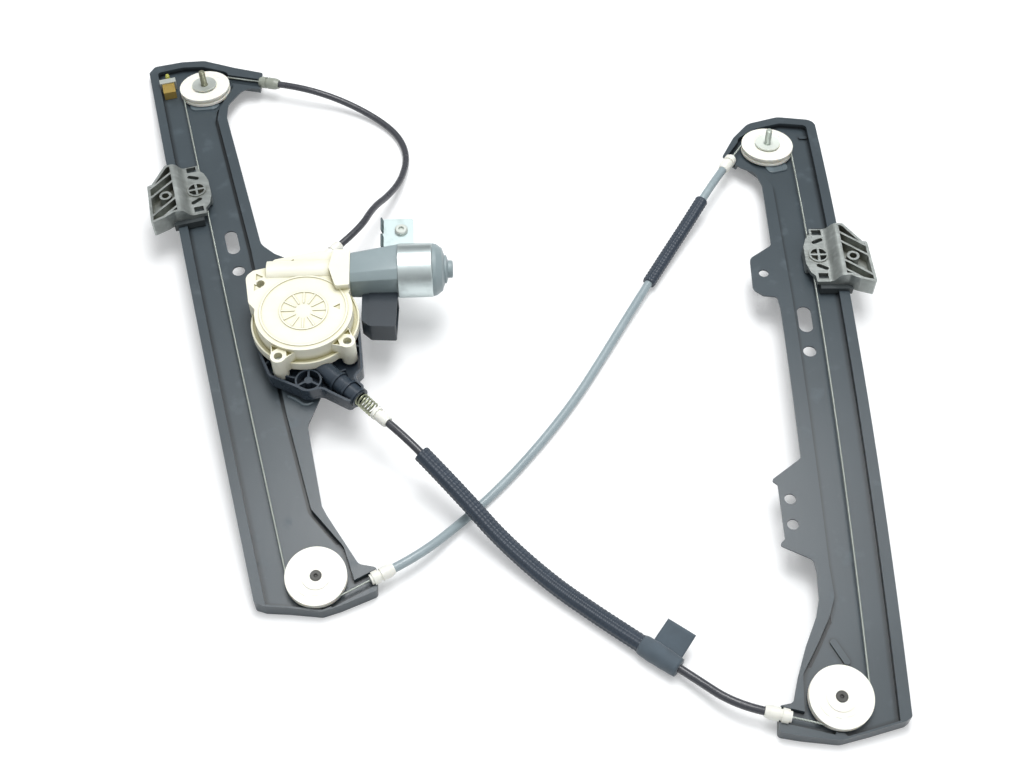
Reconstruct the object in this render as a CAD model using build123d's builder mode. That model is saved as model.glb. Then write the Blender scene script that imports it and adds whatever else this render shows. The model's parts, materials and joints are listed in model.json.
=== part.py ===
from build123d import *
import os
from math import asin, cos, pi, radians, sin, sqrt, tan

os.makedirs("parts", exist_ok=True)

# Guide rails: arch, span and place
arch_radius = 1950.0
pulley_span = 550.0
left_rail_turn = 15.6
left_rail_middle = (-201.75, 40.1)
right_rail_middle = (264.0, -48.1)
web_height_at_pulley = 10.0
sheet = 1.5
rim_rise = 5.0
guide_edge = 50.0
right_guide_edge = 51.0
guide_wall = 42.0
bead_depth = 2.0
bead_width = 3.0
flange_window = 40.0

# Pulleys, studs and wire
pulley_radius = 24.0
pulley_thickness = 7.0
wire_radius = 0.8
wire_run = 22.0
wire_height = 5.9
hub_bore = 4.6
running_gap = 0.05
clearance = 0.3
pad_radius = 15.0
hub_disc_radius = 11.3
hub_disc_rise = 0.8
stud_radius = 3.0
pilot_radius = 3.5
stud_length = 16.0
washer_radius = 11.4
washer_thickness = 1.2
washer_dish = 1.0

# Cable ends
ferrule_radius = 5.5
ferrule_length = 20.0
ferrule_collar = 5.0
dark_conduit_radius = 3.1
pale_conduit_radius = 3.7
long_conduit_radius = 3.3
short_sleeve_radius = 6.0
long_sleeve_radius = 7.2
tape_radius = 8.2
flag_width = 28.0
flag_reach = 20.0
sleeve_gap = 0.1
ferrule_bore = 1.2

# Glass carriers
carrier_station = 126.0
carrier_seat = 8.4
carrier_plate = 3.6
carrier_rise = 9.0
carrier_wall = 2.4
carrier_leg_width = 9.6
boss_radius = 8.6
ring_boss_radius = 5.4
slider_wall = 2.6
slider_half_length = 36.0

# End stop
stop_across = -34.0
stop_along = pulley_span / 2 + 13.0
buffer_length = 22.0
buffer_width = 11.5
buffer_height = 9.0

# Drive unit
drum_across = 38.3
drum_along = -60.0
drive_turn = 2.5
drum_groove_radius = 24.0
drum_height = 9.4
pin_radius = 4.0
base_floor = 3.0
base_height = 13.0
base_wall = 2.0
cup_radius = 28.5
lid_thickness = 2.0
housing_height = 21.0
housing_radius = 40.5
housing_rim = 4.5
housing_rim_height = 8.0
housing_wall = 2.5
wheel_tip_radius = 36.2
wheel_width = 9.0
wheel_teeth = 60
tooth_depth = 2.2
wheel_hub_radius = 9.0
motor_offset = 44.5
worm_length = 30.0
shaft_radius = 3.5
motor_start = 38.0
front_length = 40.0
front_width = 38.0
front_chamfer = 5.0
can_radius = 23.0
can_length = 29.0
can_wall = 1.6
cap_length = 10.0
cap_boss_length = 7.0
base_rivet_radius = 2.2
base_rivet_head = 3.6
base_foot_radius = 5.0
base_rivet_offsets = ((-18.3, 35.0), (-1.3, 38.0), (-12.3, -40.0))
tower_radius = 6.5
tower_circle = 47.5
tower_drop = 6.0
tower_angles = (-114.0, -40.0, 141.0)
screw_radius = 2.5
screw_head_radius = 3.2
screw_sink = 9.0
nozzle_tip = (45.5, -73.0)
nozzle_heading = -46.0
nozzle_radius = 8.0
nozzle_recess = 6.0
spring_radius = 5.0
spring_wire_radius = 0.7
spring_turns = 8
spring_showing = 18.0
spring_ferrule_length = 15.0
inlet_tip = (13.0, 80.0)
inlet_heading = 47.0
inlet_radius = 5.5
fitting_length = 18.0
connector_height = 20.0
connector_length = 36.0
connector_wall = 1.8
bracket_thickness = 1.6

apex_height = web_height_at_pulley + arch_radius - sqrt(arch_radius**2 - pulley_span**2 / 4)
groove_radius = wire_run - wire_radius - clearance
pad_rise = wire_height - pulley_thickness / 2 - clearance
pulley_bottom = pad_rise + clearance
pulley_top = pulley_bottom + pulley_thickness
channel_half_width = ferrule_radius + clearance


def rail_frame(middle, turn):
    """Plane on top of the web at the apex of a rail: x across, y along, z up."""
    x_axis = (cos(radians(turn)), sin(radians(turn)), 0)
    return Plane(origin=(middle[0], middle[1], apex_height), x_dir=x_axis, z_dir=(0, 0, 1))


def on_arch(frame, across, along, height=0.0):
    """Plane that touches the arch at a place on its chord, z along the surface normal."""
    lean = asin(along / arch_radius)
    reach = arch_radius + height
    origin = frame.from_local_coords(Vector(across, reach * sin(lean), reach * cos(lean) - arch_radius))
    normal = frame.z_dir * cos(lean) + frame.y_dir * sin(lean)
    return Plane(origin=origin, x_dir=frame.x_dir, z_dir=normal)


def turning_plane(plane, angle=0.0):
    """Plane that holds another plane's z axis, for profiles of radius and height."""
    side = plane.x_dir * cos(radians(angle)) + plane.y_dir * sin(radians(angle))
    return Plane(origin=plane.origin, x_dir=side, z_dir=side.cross(plane.z_dir))


def plan(corners):
    """Closed outline of (x, y, corner radius) triples."""
    points = [(x, y) for x, y, _ in corners]
    rounds = [radius for _, _, radius in corners]
    with BuildSketch() as shape:
        with BuildLine():
            FilletPolyline(*points, radius=rounds, close=True)
        make_face()
    return shape.sketch


def arched(shape, frame, low, high):
    """Slab with a plan outline, bent to the arch between two levels above the web's top."""
    centre = frame.origin - frame.z_dir * arch_radius
    side = Plane(origin=centre, x_dir=frame.y_dir, z_dir=frame.x_dir)
    with BuildPart() as slab:
        with BuildSketch(frame.offset(-frame.origin.Z)):
            add(shape)
        extrude(amount=frame.origin.Z + high + 1)
        with BuildSketch(side):
            Circle(arch_radius + high)
            Circle(arch_radius + low, mode=Mode.SUBTRACT)
        extrude(amount=150, both=True, mode=Mode.INTERSECT)
    return slab.part


def turned(plane, corners):
    """Solid of revolution about a plane's z axis from (radius, height) corners."""
    with BuildPart() as body:
        with BuildSketch(turning_plane(plane)):
            with BuildLine():
                Polyline(*corners, close=True)
            make_face()
        revolve(axis=Axis(plane.origin, plane.z_dir))
    return body


def finish(piece, name):
    """Label a sub-part and write its file."""
    piece.part.label = name
    export_step(piece.part, f"parts/{name}.step")


left_frame = rail_frame(left_rail_middle, left_rail_turn)
right_frame = rail_frame(right_rail_middle, 0.0)


class CableEnd:
    """Pulley at one end of a rail, and the way the wire leaves it for its ferrule."""

    def __init__(self, frame, side, end, leave_angle, reach):
        self.frame = frame
        self.plane = on_arch(frame, 0, end * pulley_span / 2)
        self.side_angle = 180.0 if side < 0 else 0.0
        self.leave_angle = leave_angle
        hand = 1 if leave_angle > self.side_angle else -1
        self.direction = leave_angle + 90 * hand
        self.reach = reach
        self.centre_along = end * pulley_span / 2

    def on_wire(self, angle):
        """Point of the wire where it lies in the pulley's groove."""
        place = Vector(wire_run * cos(radians(angle)), wire_run * sin(radians(angle)), wire_height)
        return self.plane.from_local_coords(place)

    def along(self, distance):
        """Point at a distance from where the wire leaves the pulley."""
        heading = Vector(cos(radians(self.direction)), sin(radians(self.direction)), 0)
        heading = self.plane.to_local_coords(self.plane.origin + self.plane.x_dir * heading.X
                                             + self.plane.y_dir * heading.Y)
        start = self.plane.to_local_coords(self.on_wire(self.leave_angle))
        return self.plane.from_local_coords(start + heading * distance)

    def ferrule_plane(self):
        """Plane at the ferrule's start, z along the cable away from the pulley."""
        start = self.along(self.reach)
        heading = (self.along(self.reach + 1) - start).normalized()
        return Plane(origin=start, x_dir=self.plane.z_dir, z_dir=heading)

    def channel(self):
        """Plan of the open channel that leads the wire to the ferrule."""
        x = wire_run * cos(radians(self.leave_angle))
        y = wire_run * sin(radians(self.leave_angle)) + self.centre_along
        length = self.reach + ferrule_length
        turn = self.direction
        middle = (x + length / 2 * cos(radians(turn)), y + length / 2 * sin(radians(turn)))
        with BuildSketch() as strip:
            with Locations(Location((middle[0], middle[1], 0), (0, 0, turn))):
                Rectangle(length, 2 * channel_half_width)
        return strip.sketch


left_top = CableEnd(left_frame, -1, 1, 59.5, 48.7)
left_bottom = CableEnd(left_frame, -1, -1, 284.0, 35.8)
right_top = CableEnd(right_frame, 1, 1, 150.0, 31.9)
right_bottom = CableEnd(right_frame, 1, -1, -103.0, 33.0)

# Plan outlines, across and along, with their corner radii
rail_top = pulley_span / 2
rail_end = -pulley_span / 2
left_outline = plan([
    (-guide_edge, rail_end - 8, 3), (-guide_edge, rail_top + 46, 4), (-43.5, rail_top + 55, 4),
    (-16.5, rail_top + 54.5, 8), (5, rail_top + 49.5, 12), (32, rail_top + 28, 10), (58, rail_top + 10, 3),
    (51, rail_top - 16, 3), (38, rail_top - 7, 12), (18, rail_top - 30, 14), (14, rail_top - 49, 12),
    (17.5, 50, 14), (27, 36, 6), (43, 22, 8), (43, -112, 10), (20.4, -146, 12), (16.7, rail_end + 56, 6),
    (19, rail_end + 47, 6), (34, rail_end + 2, 6), (47, rail_end - 4, 3), (43, rail_end - 22, 3),
    (12.8, rail_end - 27, 10), (-1.5, rail_end - 28, 5), (-24.8, rail_end - 19, 8),
    (-42.5, rail_end - 13, 3),
])
left_recess = plan([
    (-guide_wall, rail_end - 55, 0), (-guide_wall, rail_top + 44, 4), (-17, rail_top + 45, 8),
    (2, rail_top + 40, 12), (24, rail_top + 23, 8), (27, rail_top - 3, 6), (9, rail_top - 33, 14),
    (5, rail_top - 49, 12), (8, 50, 20), (6, -130, 20), (8, rail_end + 56, 10), (26, rail_end + 19, 10),
    (28, rail_end - 11, 8), (16, rail_end - 25, 6), (0, rail_end - 26.2, 4), (-6, rail_end - 55, 0),
])
right_outline = plan([
    (right_guide_edge, rail_end - 14, 2), (right_guide_edge, rail_top + 44, 10), (16, rail_top + 49, 12),
    (-14, rail_top + 38, 16), (-30, rail_top + 16, 8), (-43, rail_top - 12, 2), (-27, rail_top - 28, 2),
    (-15, rail_top - 35, 10), (-10.5, rail_top - 53, 10), (-11, 144, 6), (-31.5, 128, 8), (-32.3, 92, 8),
    (-24, 85, 4), (-12.4, 83.5, 3), (-10.8, 71, 3), (-10.2, -80, 4), (-35.7, -100, 2), (-31, -104, 1.5),
    (-29.6, -151, 2), (-34.6, -156, 2), (-9.5, -168, 5), (-8, -178, 4), (-8.5, rail_end + 75, 12),
    (-12, rail_end + 61, 12), (-22, rail_end + 38, 14), (-30, rail_end + 15, 14), (-35, rail_end - 4, 4),
    (-45, rail_end - 6, 2), (-47, rail_end - 25, 3), (-30, rail_end - 28, 10), (-2.3, rail_end - 31, 12),
    (20, rail_end - 25, 8), (47, rail_end - 17, 3),
])
right_recess = plan([
    (guide_wall, rail_end - 55, 0), (guide_wall, rail_top + 36, 5), (17, rail_top + 39, 8),
    (-9, rail_top + 30, 10), (-26, rail_top + 15, 8), (-27, rail_top - 13, 8), (-9, rail_top - 35, 10),
    (-1, rail_top - 53, 14), (-0.5, 146, 20), (0.5, 84, 20), (2, -174, 10), (3.5, rail_end + 77, 12),
    (-2, rail_end + 61, 14), (-14, rail_end + 38, 14), (-26, rail_end + 17, 12), (-27, rail_end - 5, 4),
    (-27, rail_end - 23, 6), (2, rail_end - 26, 4), (8, rail_end - 55, 0),
])


def pressed_rail(frame, outline, recess, ends, bead_side):
    """Sheet-metal pan: a raised rim, a recessed web with a deep bead, and flanges down to the floor."""
    channels = ends[0].channel() + ends[1].channel()
    pan_recess = recess + channels
    wall = offset(pan_recess, amount=sheet)
    inner = offset(outline, amount=-sheet)
    edge_band = outline - inner
    window_width = 4 * guide_edge
    top_window = Pos(0, pulley_span / 2 + 22 + flange_window / 2) * Rectangle(window_width, flange_window)
    bottom_window = Pos(0, -pulley_span / 2 - 6 - flange_window / 2) * Rectangle(window_width, flange_window)
    bead_window = Pos(-bead_side * 100, 0) * Rectangle(200, pulley_span - 2 * pulley_radius)
    bead_room = recess - offset(recess, amount=-bead_width)
    bead_wall = offset(recess, amount=sheet) - offset(recess, amount=-bead_width - sheet)
    under_rim = arched(outline - wall, frame, -30, rim_rise - sheet)
    over_web = arched(pan_recess, frame, 0, 20)
    over_channels = arched(channels, frame, 0, 20)
    top_flange = arched(edge_band & top_window, frame, -30, rim_rise)
    bottom_flange = arched(edge_band & bottom_window, frame, -30, rim_rise)
    bead_skin = arched(bead_wall & bead_window, frame, -bead_depth - sheet, 0)
    bead_hollow = arched(bead_room & bead_window, frame, -bead_depth, rim_rise)
    pads = [
        turned(end.plane, [(0, -sheet), (pad_radius + 2, -sheet), (pad_radius, pad_rise), (0, pad_rise)]).part
        for end in ends
    ]
    with BuildPart() as rail:
        add(arched(outline, frame, -sheet, rim_rise))
        add(under_rim, mode=Mode.SUBTRACT)
        add(over_web, mode=Mode.SUBTRACT)
        add(top_flange)
        add(bottom_flange)
        add(over_channels, mode=Mode.SUBTRACT)
        add(bead_skin)
        add(bead_hollow, mode=Mode.SUBTRACT)
        add(pads)
    return rail.part


# Left guide rail, with its slot and round hole
slot_along = 64.0
round_hole_along = 29.5
slot_length = 28.0
left_slot = Pos(-6.7, slot_along) * SlotOverall(slot_length, 11, rotation=90)
left_round = Pos(-6.6, round_hole_along) * Circle(5.5)
left_holes = arched(left_slot + left_round, left_frame, -10, 10)
base_rivet_places = [(drum_across + x, drum_along + y) for x, y in base_rivet_offsets]
rivet_circles = Sketch() + [Pos(x, y) * Circle(base_rivet_radius + clearance) for x, y in base_rivet_places]
foot_circles = Sketch() + [Pos(x, y) * Circle(base_foot_radius) for x, y in base_rivet_places]
rivet_holes = arched(rivet_circles, left_frame, -10, 20)
left_pan = pressed_rail(left_frame, left_outline, left_recess, (left_top, left_bottom), -1)
with BuildPart() as left_rail:
    add(left_pan)
    add(left_holes, mode=Mode.SUBTRACT)
    add(rivet_holes, mode=Mode.SUBTRACT)
finish(left_rail, "left_rail")

# Right guide rail, with its slot, round hole and the holes of its two ears
ear_hole_radius = 4.2
pair_hole_radius = 4.5
right_slot = Pos(10, slot_along - 1.5) * SlotOverall(slot_length, 12, rotation=90)
right_round = Pos(10, round_hole_along - 1.5) * Circle(5.5)
ear_hole = Pos(-21, 110.5) * Circle(ear_hole_radius)
pair_holes = Pos(-22.3, -116.5) * Circle(pair_hole_radius) + Pos(-22.3, -138.5) * Circle(pair_hole_radius)
right_holes = arched(right_slot + right_round + ear_hole + pair_holes, right_frame, -10, 10)
right_pan = pressed_rail(right_frame, right_outline, right_recess, (right_top, right_bottom), 1)
stiffening_rib = Pos(4, rail_end + 35.5) * SlotOverall(22, 5, rotation=-60)
dimple = Pos(37.5, rail_top + 21) * SlotOverall(8, 4)
right_beads = arched(stiffening_rib + dimple, right_frame, -sheet / 2, 1.4)
with BuildPart() as right_rail:
    add(right_pan)
    add(right_beads)
    add(right_holes, mode=Mode.SUBTRACT)
finish(right_rail, "right_rail")

# Pulleys, with a grooved rim and a light web on each face
groove_mouth = 1.5
groove_floor = wire_radius + 0.3
rim_corners = [
    (pulley_radius, pulley_top), (pulley_radius, wire_height + groove_mouth),
    (groove_radius, wire_height + groove_floor), (groove_radius, wire_height - groove_floor),
    (pulley_radius, wire_height - groove_mouth), (pulley_radius, pulley_bottom),
]
top_face = [(washer_radius + 0.6, pulley_top - 0.6), (washer_radius + 0.6, pulley_top)]
bottom_face = [(hub_disc_radius, pulley_top + hub_disc_rise), (hub_disc_radius, pulley_top)]
for name, end in (("left_top_pulley", left_top), ("right_top_pulley", right_top)):
    hub = [(hub_bore, pulley_bottom), (hub_bore, pulley_top - 0.6)]
    pulley = turned(end.plane, hub + top_face + rim_corners)
    finish(pulley, name)
for name, end in (("left_bottom_pulley", left_bottom), ("right_bottom_pulley", right_bottom)):
    hub = [(hub_bore, pulley_bottom), (hub_bore, pulley_top + hub_disc_rise)]
    pulley = turned(end.plane, hub + bottom_face + rim_corners)
    finish(pulley, name)

# Shouldered studs and dished washers at the top, plain rivets at the bottom
shank = hub_bore - running_gap
washer_seat = pulley_top + 0.2
thread_start = washer_seat + washer_thickness
stud_top = thread_start + stud_length
for side, end in (("left", left_top), ("right", right_top)):
    stud = turned(end.plane, [
        (0, pad_rise), (shank, pad_rise), (shank, washer_seat), (pilot_radius, washer_seat),
        (pilot_radius, thread_start), (stud_radius, thread_start), (stud_radius, stud_top - 1),
        (stud_radius - 1, stud_top), (0, stud_top),
    ])
    finish(stud, f"{side}_top_stud")
    washer = turned(end.plane, [
        (pilot_radius + running_gap, washer_seat), (shank + 1, washer_seat),
        (washer_radius, washer_seat + washer_dish), (washer_radius, washer_seat + washer_dish + washer_thickness),
        (shank + 1, thread_start), (pilot_radius + running_gap, thread_start),
    ])
    finish(washer, f"{side}_top_washer")
rivet_top = pulley_top + hub_disc_rise + 0.4
for side, end in (("left", left_bottom), ("right", right_bottom)):
    rivet = turned(end.plane, [
        (0, pad_rise), (shank, pad_rise), (shank, rivet_top - 0.4), (shank - 0.6, rivet_top),
        (1.6, rivet_top), (0.9, rivet_top - 1), (0, rivet_top - 1),
    ])
    finish(rivet, f"{side}_bottom_rivet")

# Ferrules, each a collared sleeve in its channel's mouth
for name, end in (
    ("left_top_ferrule", left_top), ("left_bottom_ferrule", left_bottom),
    ("right_top_ferrule", right_top), ("right_bottom_ferrule", right_bottom),
):
    neck = ferrule_radius - 1.2
    ferrule = turned(end.ferrule_plane(), [
        (ferrule_bore, 0), (neck, 0), (neck, 2), (ferrule_radius, 2), (ferrule_radius, 2 + ferrule_collar),
        (neck, 2 + ferrule_collar), (neck, 4 + ferrule_collar), (ferrule_radius, 4 + ferrule_collar),
        (ferrule_radius, ferrule_length - 4), (neck, ferrule_length), (0, ferrule_length), (0, 6), (ferrule_bore, 6),
    ])
    finish(ferrule, name)
    far = end.ferrule_plane().origin + end.ferrule_plane().z_dir * ferrule_length
    heading = end.ferrule_plane().z_dir
    print(name, "far end", [round(v, 1) for v in far], "heading", [round(v, 3) for v in heading])

# Bare wires: round each pulley and along the arch between them
for side, across, top, bottom in (
    ("left", -wire_run, left_top, left_bottom), ("right", wire_run, right_top, right_bottom),
):
    frame = top.frame
    middle = on_arch(frame, across, 0, wire_height).origin
    with BuildPart() as wire:
        with BuildLine() as route:
            Line(top.along(top.reach + 5), top.on_wire(top.leave_angle))
            ThreePointArc(
                top.on_wire(top.leave_angle), top.on_wire((top.leave_angle + top.side_angle) / 2),
                top.on_wire(top.side_angle),
            )
            ThreePointArc(top.on_wire(top.side_angle), middle, bottom.on_wire(bottom.side_angle))
            ThreePointArc(
                bottom.on_wire(bottom.side_angle), bottom.on_wire((bottom.leave_angle + bottom.side_angle) / 2),
                bottom.on_wire(bottom.leave_angle),
            )
            Line(bottom.on_wire(bottom.leave_angle), bottom.along(bottom.reach + 5))
        with BuildSketch(Plane(origin=route.line @ 0, z_dir=route.line % 0)):
            Circle(wire_radius)
        sweep()
    finish(wire, f"{side}_wire")
    wire_length = sum(edge.length for edge in route.edges())
    wire_section = pi * wire_radius**2
    print(side, "wire", round(wire_length, 1), "ratio", round(wire.part.volume / wire_length / wire_section, 4))

# Plastic sliders that wrap the guide lip, and cast glass carriers on them
carrier_outline_points = [
    (22.5, -31.5, 1), (22.5, -25, 2), (18.5, -20, 3), (15.5, -10, 4), (15.5, 10, 4), (18.5, 20, 3), (22.5, 25, 2),
    (22.5, 31.5, 1), (51, 30.5, 2), (65.5, 9, 1), (69.5, 8.3, 1.5), (71.5, -39.3, 1.5), (58, -35, 3), (50, -31, 3),
]
lip_top = rim_rise
lip_bottom = rim_rise - sheet
leg_inside = wire_run - 6
leg_outside = leg_inside + carrier_leg_width
slider_inside = leg_outside + 0.4
carrier_low = carrier_seat + carrier_plate
carrier_high = carrier_low + carrier_rise
ramp_start = 33.0
ramp_end = 46.0
boss_across = wire_run + 5.5
glass_ring_place = (55.0, -8.3)
pocket_floor = 9.3
clamp_bottom = 4.0


def mirrored(corners, side, along):
    """Corners given outwards from the pulley line, put on one side of a rail at a station."""
    placed = [(side * outwards, along + y, radius) for outwards, y, radius in corners]
    return placed if side > 0 else placed[::-1]


def block(side, inside, outside, low, high):
    """Plan of a plain block beside the carrier's station, from distances outwards and along."""
    middle = (side * (inside + outside) / 2, carrier_station + (low + high) / 2)
    return Pos(*middle) * Rectangle(outside - inside, high - low)


def carrier_windows(side):
    """Plan of the windows in the inner plate: two slots, two slanted ovals and a quartered round boss."""
    slots = [Pos(side * 28.8, carrier_station + y) * Rectangle(8.4, 6.2) for y in (27.2, -24.6)]
    ovals = [
        Pos(side * 28.4, carrier_station + 16.8) * SlotOverall(11, 4, rotation=side * 28),
        Pos(side * 29.4, carrier_station - 14) * SlotOverall(11, 4, rotation=-side * 28),
    ]
    round_window = Pos(side * boss_across, carrier_station) * Circle(boss_radius - 1.6)
    cross = Pos(side * boss_across, carrier_station) * (Rectangle(20, 2) + Rectangle(2, 20))
    return Sketch() + slots + ovals + (round_window - cross)


for name, frame, side, edge in (("left", left_frame, -1, guide_edge), ("right", right_frame, 1, right_guide_edge)):
    slider_outer = edge + slider_wall + clearance
    clamp_inside = slider_outer + 0.3
    station = on_arch(frame, 0, carrier_station)
    outwards = station.x_dir * side
    section = Plane(origin=station.origin, x_dir=outwards, z_dir=outwards.cross(station.z_dir))
    outline = plan(mirrored(carrier_outline_points, side, carrier_station))
    inner_room = block(side, slider_inside - 0.2, clamp_inside, -60, 60)
    leg_gaps = block(side, 0, slider_inside, 13, 60) + block(side, 0, slider_inside, -60, -13)
    tunnel = Pos(side * wire_run, carrier_station) * Rectangle(2.4, 90)
    nipple_pocket = Pos(side * wire_run, carrier_station) * Rectangle(5.8, 14)
    windows = carrier_windows(side)
    outer_half = block(side, ramp_end + 1, 90, -60, 60) & offset(outline, amount=-carrier_wall)
    ring_spot = Pos(side * glass_ring_place[0], carrier_station + glass_ring_place[1])
    rib_lines = Sketch() + [
        ring_spot * Pos(0, step * 11) * Rectangle(60, 2, rotation=-side * 38) for step in (-2, -1, 1, 2, 3)
    ]
    ring_boss = ring_spot * Circle(ring_boss_radius)
    pockets = outer_half - rib_lines - ring_boss + (outer_half & (ring_spot * Circle(ring_boss_radius - 2.2)))
    body = arched(outline, frame, 2.0, carrier_high + 2)
    over_slider = arched(inner_room + leg_gaps, frame, 0, carrier_seat)
    under_clamp = arched(block(side, clamp_inside - 0.1, 90, -60, 60), frame, 0, clamp_bottom)
    pocket_cuts = arched(pockets, frame, carrier_low, carrier_high + 5)
    window_cuts = arched(windows, frame, pocket_floor, carrier_high + 5)
    through_cuts = arched(windows - block(side, 0, slider_inside, -13, 13), frame, 0, carrier_high + 5)
    wire_room = arched(tunnel, frame, 0, wire_height + 1.4)
    nipple_room = arched(nipple_pocket, frame, 0, wire_height + 2.9)
    boss_ring = arched(Pos(side * boss_across, carrier_station) * Circle(boss_radius), frame, pocket_floor,
                       carrier_low + 1)
    with BuildPart() as carrier:
        add(body)
        with BuildSketch(section):
            with BuildLine():
                Polyline((ramp_end, carrier_high), (90, carrier_high), (90, -20), (0, -20), (0, carrier_low),
                         (ramp_start, carrier_low))
                Spline((ramp_start, carrier_low), (ramp_end, carrier_high), tangents=((1, 0), (1, 0)))
            make_face()
        extrude(amount=60, both=True, mode=Mode.INTERSECT)
        add(boss_ring)
        add(over_slider, mode=Mode.SUBTRACT)
        add(under_clamp, mode=Mode.SUBTRACT)
        add(pocket_cuts, mode=Mode.SUBTRACT)
        add(window_cuts, mode=Mode.SUBTRACT)
        add(through_cuts, mode=Mode.SUBTRACT)
        add(wire_room, mode=Mode.SUBTRACT)
        add(nipple_room, mode=Mode.SUBTRACT)
    finish(carrier, f"{name}_carrier")
    print(name, "carrier solids", len(carrier.part.solids()))

    slider_plan = block(side, slider_inside, slider_outer, -slider_half_length, slider_half_length)
    lip_plan = block(side, guide_wall - clearance, edge + clearance, -60, 60)
    wall_plan = block(side, guide_wall - clearance, guide_wall + sheet + clearance, -60, 60)
    slider_block = arched(slider_plan, frame, lip_bottom - clearance - 2.0, carrier_seat - 0.02)
    slider_slot = arched(lip_plan, frame, lip_bottom - clearance, lip_top + clearance)
    wall_slot = arched(wall_plan, frame, -5, lip_top + clearance)
    with BuildPart() as slider:
        add(slider_block)
        add(slider_slot, mode=Mode.SUBTRACT)
        add(wall_slot, mode=Mode.SUBTRACT)
    finish(slider, f"{name}_slider")
    print(name, "slider solids", len(slider.part.solids()))

    nipple_frame = on_arch(frame, side * wire_run, carrier_station, wire_height)
    nipple_axis = Plane(origin=nipple_frame.origin - nipple_frame.y_dir * 6, x_dir=nipple_frame.x_dir,
                        z_dir=nipple_frame.y_dir)
    nipple = turned(nipple_axis, [(wire_radius + 0.2, 0), (2.5, 0), (2.5, 12), (wire_radius + 0.2, 12)])
    finish(nipple, f"{name}_nipple")

# Rubber end stop and the metal clip that holds it to the web
buffer_block = Pos(stop_across, stop_along) * Rectangle(buffer_width, buffer_length)
stem = Pos(stop_across, stop_along + buffer_length / 2 + 4) * Circle(2.6)
buffer_solid = arched(buffer_block, left_frame, clearance, buffer_height)
stem_solid = arched(Pos(0, -3.5) * stem + stem, left_frame, clearance, buffer_height - 3)
with BuildPart() as end_stop_buffer:
    add(buffer_solid)
    add(stem_solid)
finish(end_stop_buffer, "end_stop_buffer")
strap_plan = Pos(stop_across, stop_along + buffer_length / 2 - 4) * Rectangle(buffer_width + 4, 7)
strap_room = Pos(stop_across, stop_along) * Rectangle(buffer_width + 0.4, 60)
strap = arched(strap_plan, left_frame, 0, buffer_height + 1.4)
strap_hollow = arched(strap_room, left_frame, -1, buffer_height + 0.2)
with BuildPart() as end_stop_clip:
    add(strap)
    add(strap_hollow, mode=Mode.SUBTRACT)
finish(end_stop_clip, "end_stop_clip")

# Drive unit: levels above the floor
base_bottom = apex_height + rim_rise + clearance
base_top = base_bottom + base_height
drum_bottom = base_bottom + base_floor + clearance
drum_top = drum_bottom + drum_height
housing_bottom = base_top + 0.1
housing_top = housing_bottom + housing_height
lid_bottom = housing_bottom + 0.1
cavity_radius = wheel_tip_radius + 0.8
wheel_top = housing_top - housing_wall - clearance
wheel_bottom = wheel_top - wheel_width
motor_height = (wheel_top + wheel_bottom) / 2
worm_tip_radius = motor_offset - wheel_tip_radius - clearance
drum_centre = left_frame.from_local_coords(Vector(drum_across, drum_along, 0))
drive = Plane(origin=(drum_centre.X, drum_centre.Y, 0),
              x_dir=(cos(radians(drive_turn)), sin(radians(drive_turn)), 0), z_dir=(0, 0, 1))
motor_axis = Plane(origin=drive.from_local_coords(Vector(0, motor_offset, motor_height)),
                   x_dir=drive.y_dir, z_dir=drive.x_dir)
tower_places = [
    (tower_circle * cos(radians(angle)), tower_circle * sin(radians(angle))) for angle in tower_angles
]


def level(height):
    """Horizontal sketch plane of the drive unit at a height above the floor."""
    return drive.offset(height)


# Black base: drum cup, ribbed floor, three feet and the cable nozzle
base_outline = plan([
    (-40, 34, 8), (-44, 4, 12), (-38, -28, 8), (-29, -50, 6), (-6, -62, 8), (3, -67, 8), (14, -64, 8),
    (38, -79, 4), (50, -64, 4), (41, -54, 4), (48, -46, 5), (46, -20, 8), (43, 16, 10), (26, 40, 10), (-28, 46, 8),
])
ring_place = (3.5, -55.5)
ring_radius = 9.5
heading = (cos(radians(nozzle_heading)), sin(radians(nozzle_heading)))
nozzle_height = base_bottom + nozzle_radius
nozzle_end = drive.from_local_coords(Vector(nozzle_tip[0], nozzle_tip[1], nozzle_height))
nozzle_out = drive.x_dir * heading[0] + drive.y_dir * heading[1]
nozzle_plane = Plane(origin=nozzle_end, x_dir=(0, 0, 1), z_dir=nozzle_out)
inlet_height = base_bottom + inlet_radius + 0.2
inlet_out = drive.x_dir * cos(radians(inlet_heading)) + drive.y_dir * sin(radians(inlet_heading))
inlet_end = drive.from_local_coords(Vector(inlet_tip[0], inlet_tip[1], inlet_height))
inlet_plane = Plane(origin=inlet_end, x_dir=(0, 0, 1), z_dir=inlet_out)
base_inner = offset(base_outline, amount=-base_wall)
base_feet = arched(foot_circles, left_frame, rim_rise + running_gap, rim_rise + 3.2)
tower_pad_height = base_height - tower_drop - 0.1
nozzle_length = 46.0
rib_angles = (-148, -132, -116, -78, -64, -26, -10)
spread_ribs = Sketch() + [Rot(0, 0, angle) * Pos(60, 0) * Rectangle(80, 1.4) for angle in rib_angles]
ring_ribs = Sketch() + [Pos(*ring_place) * Rot(0, 0, angle) * Pos(20, 0) * Rectangle(24, 1.4) for angle in (20, 160)]
ring_room = Pos(*ring_place) * Circle(ring_radius)
rib_plan = ((spread_ribs + ring_ribs) & base_inner) - ring_room - Circle(cup_radius)
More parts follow.
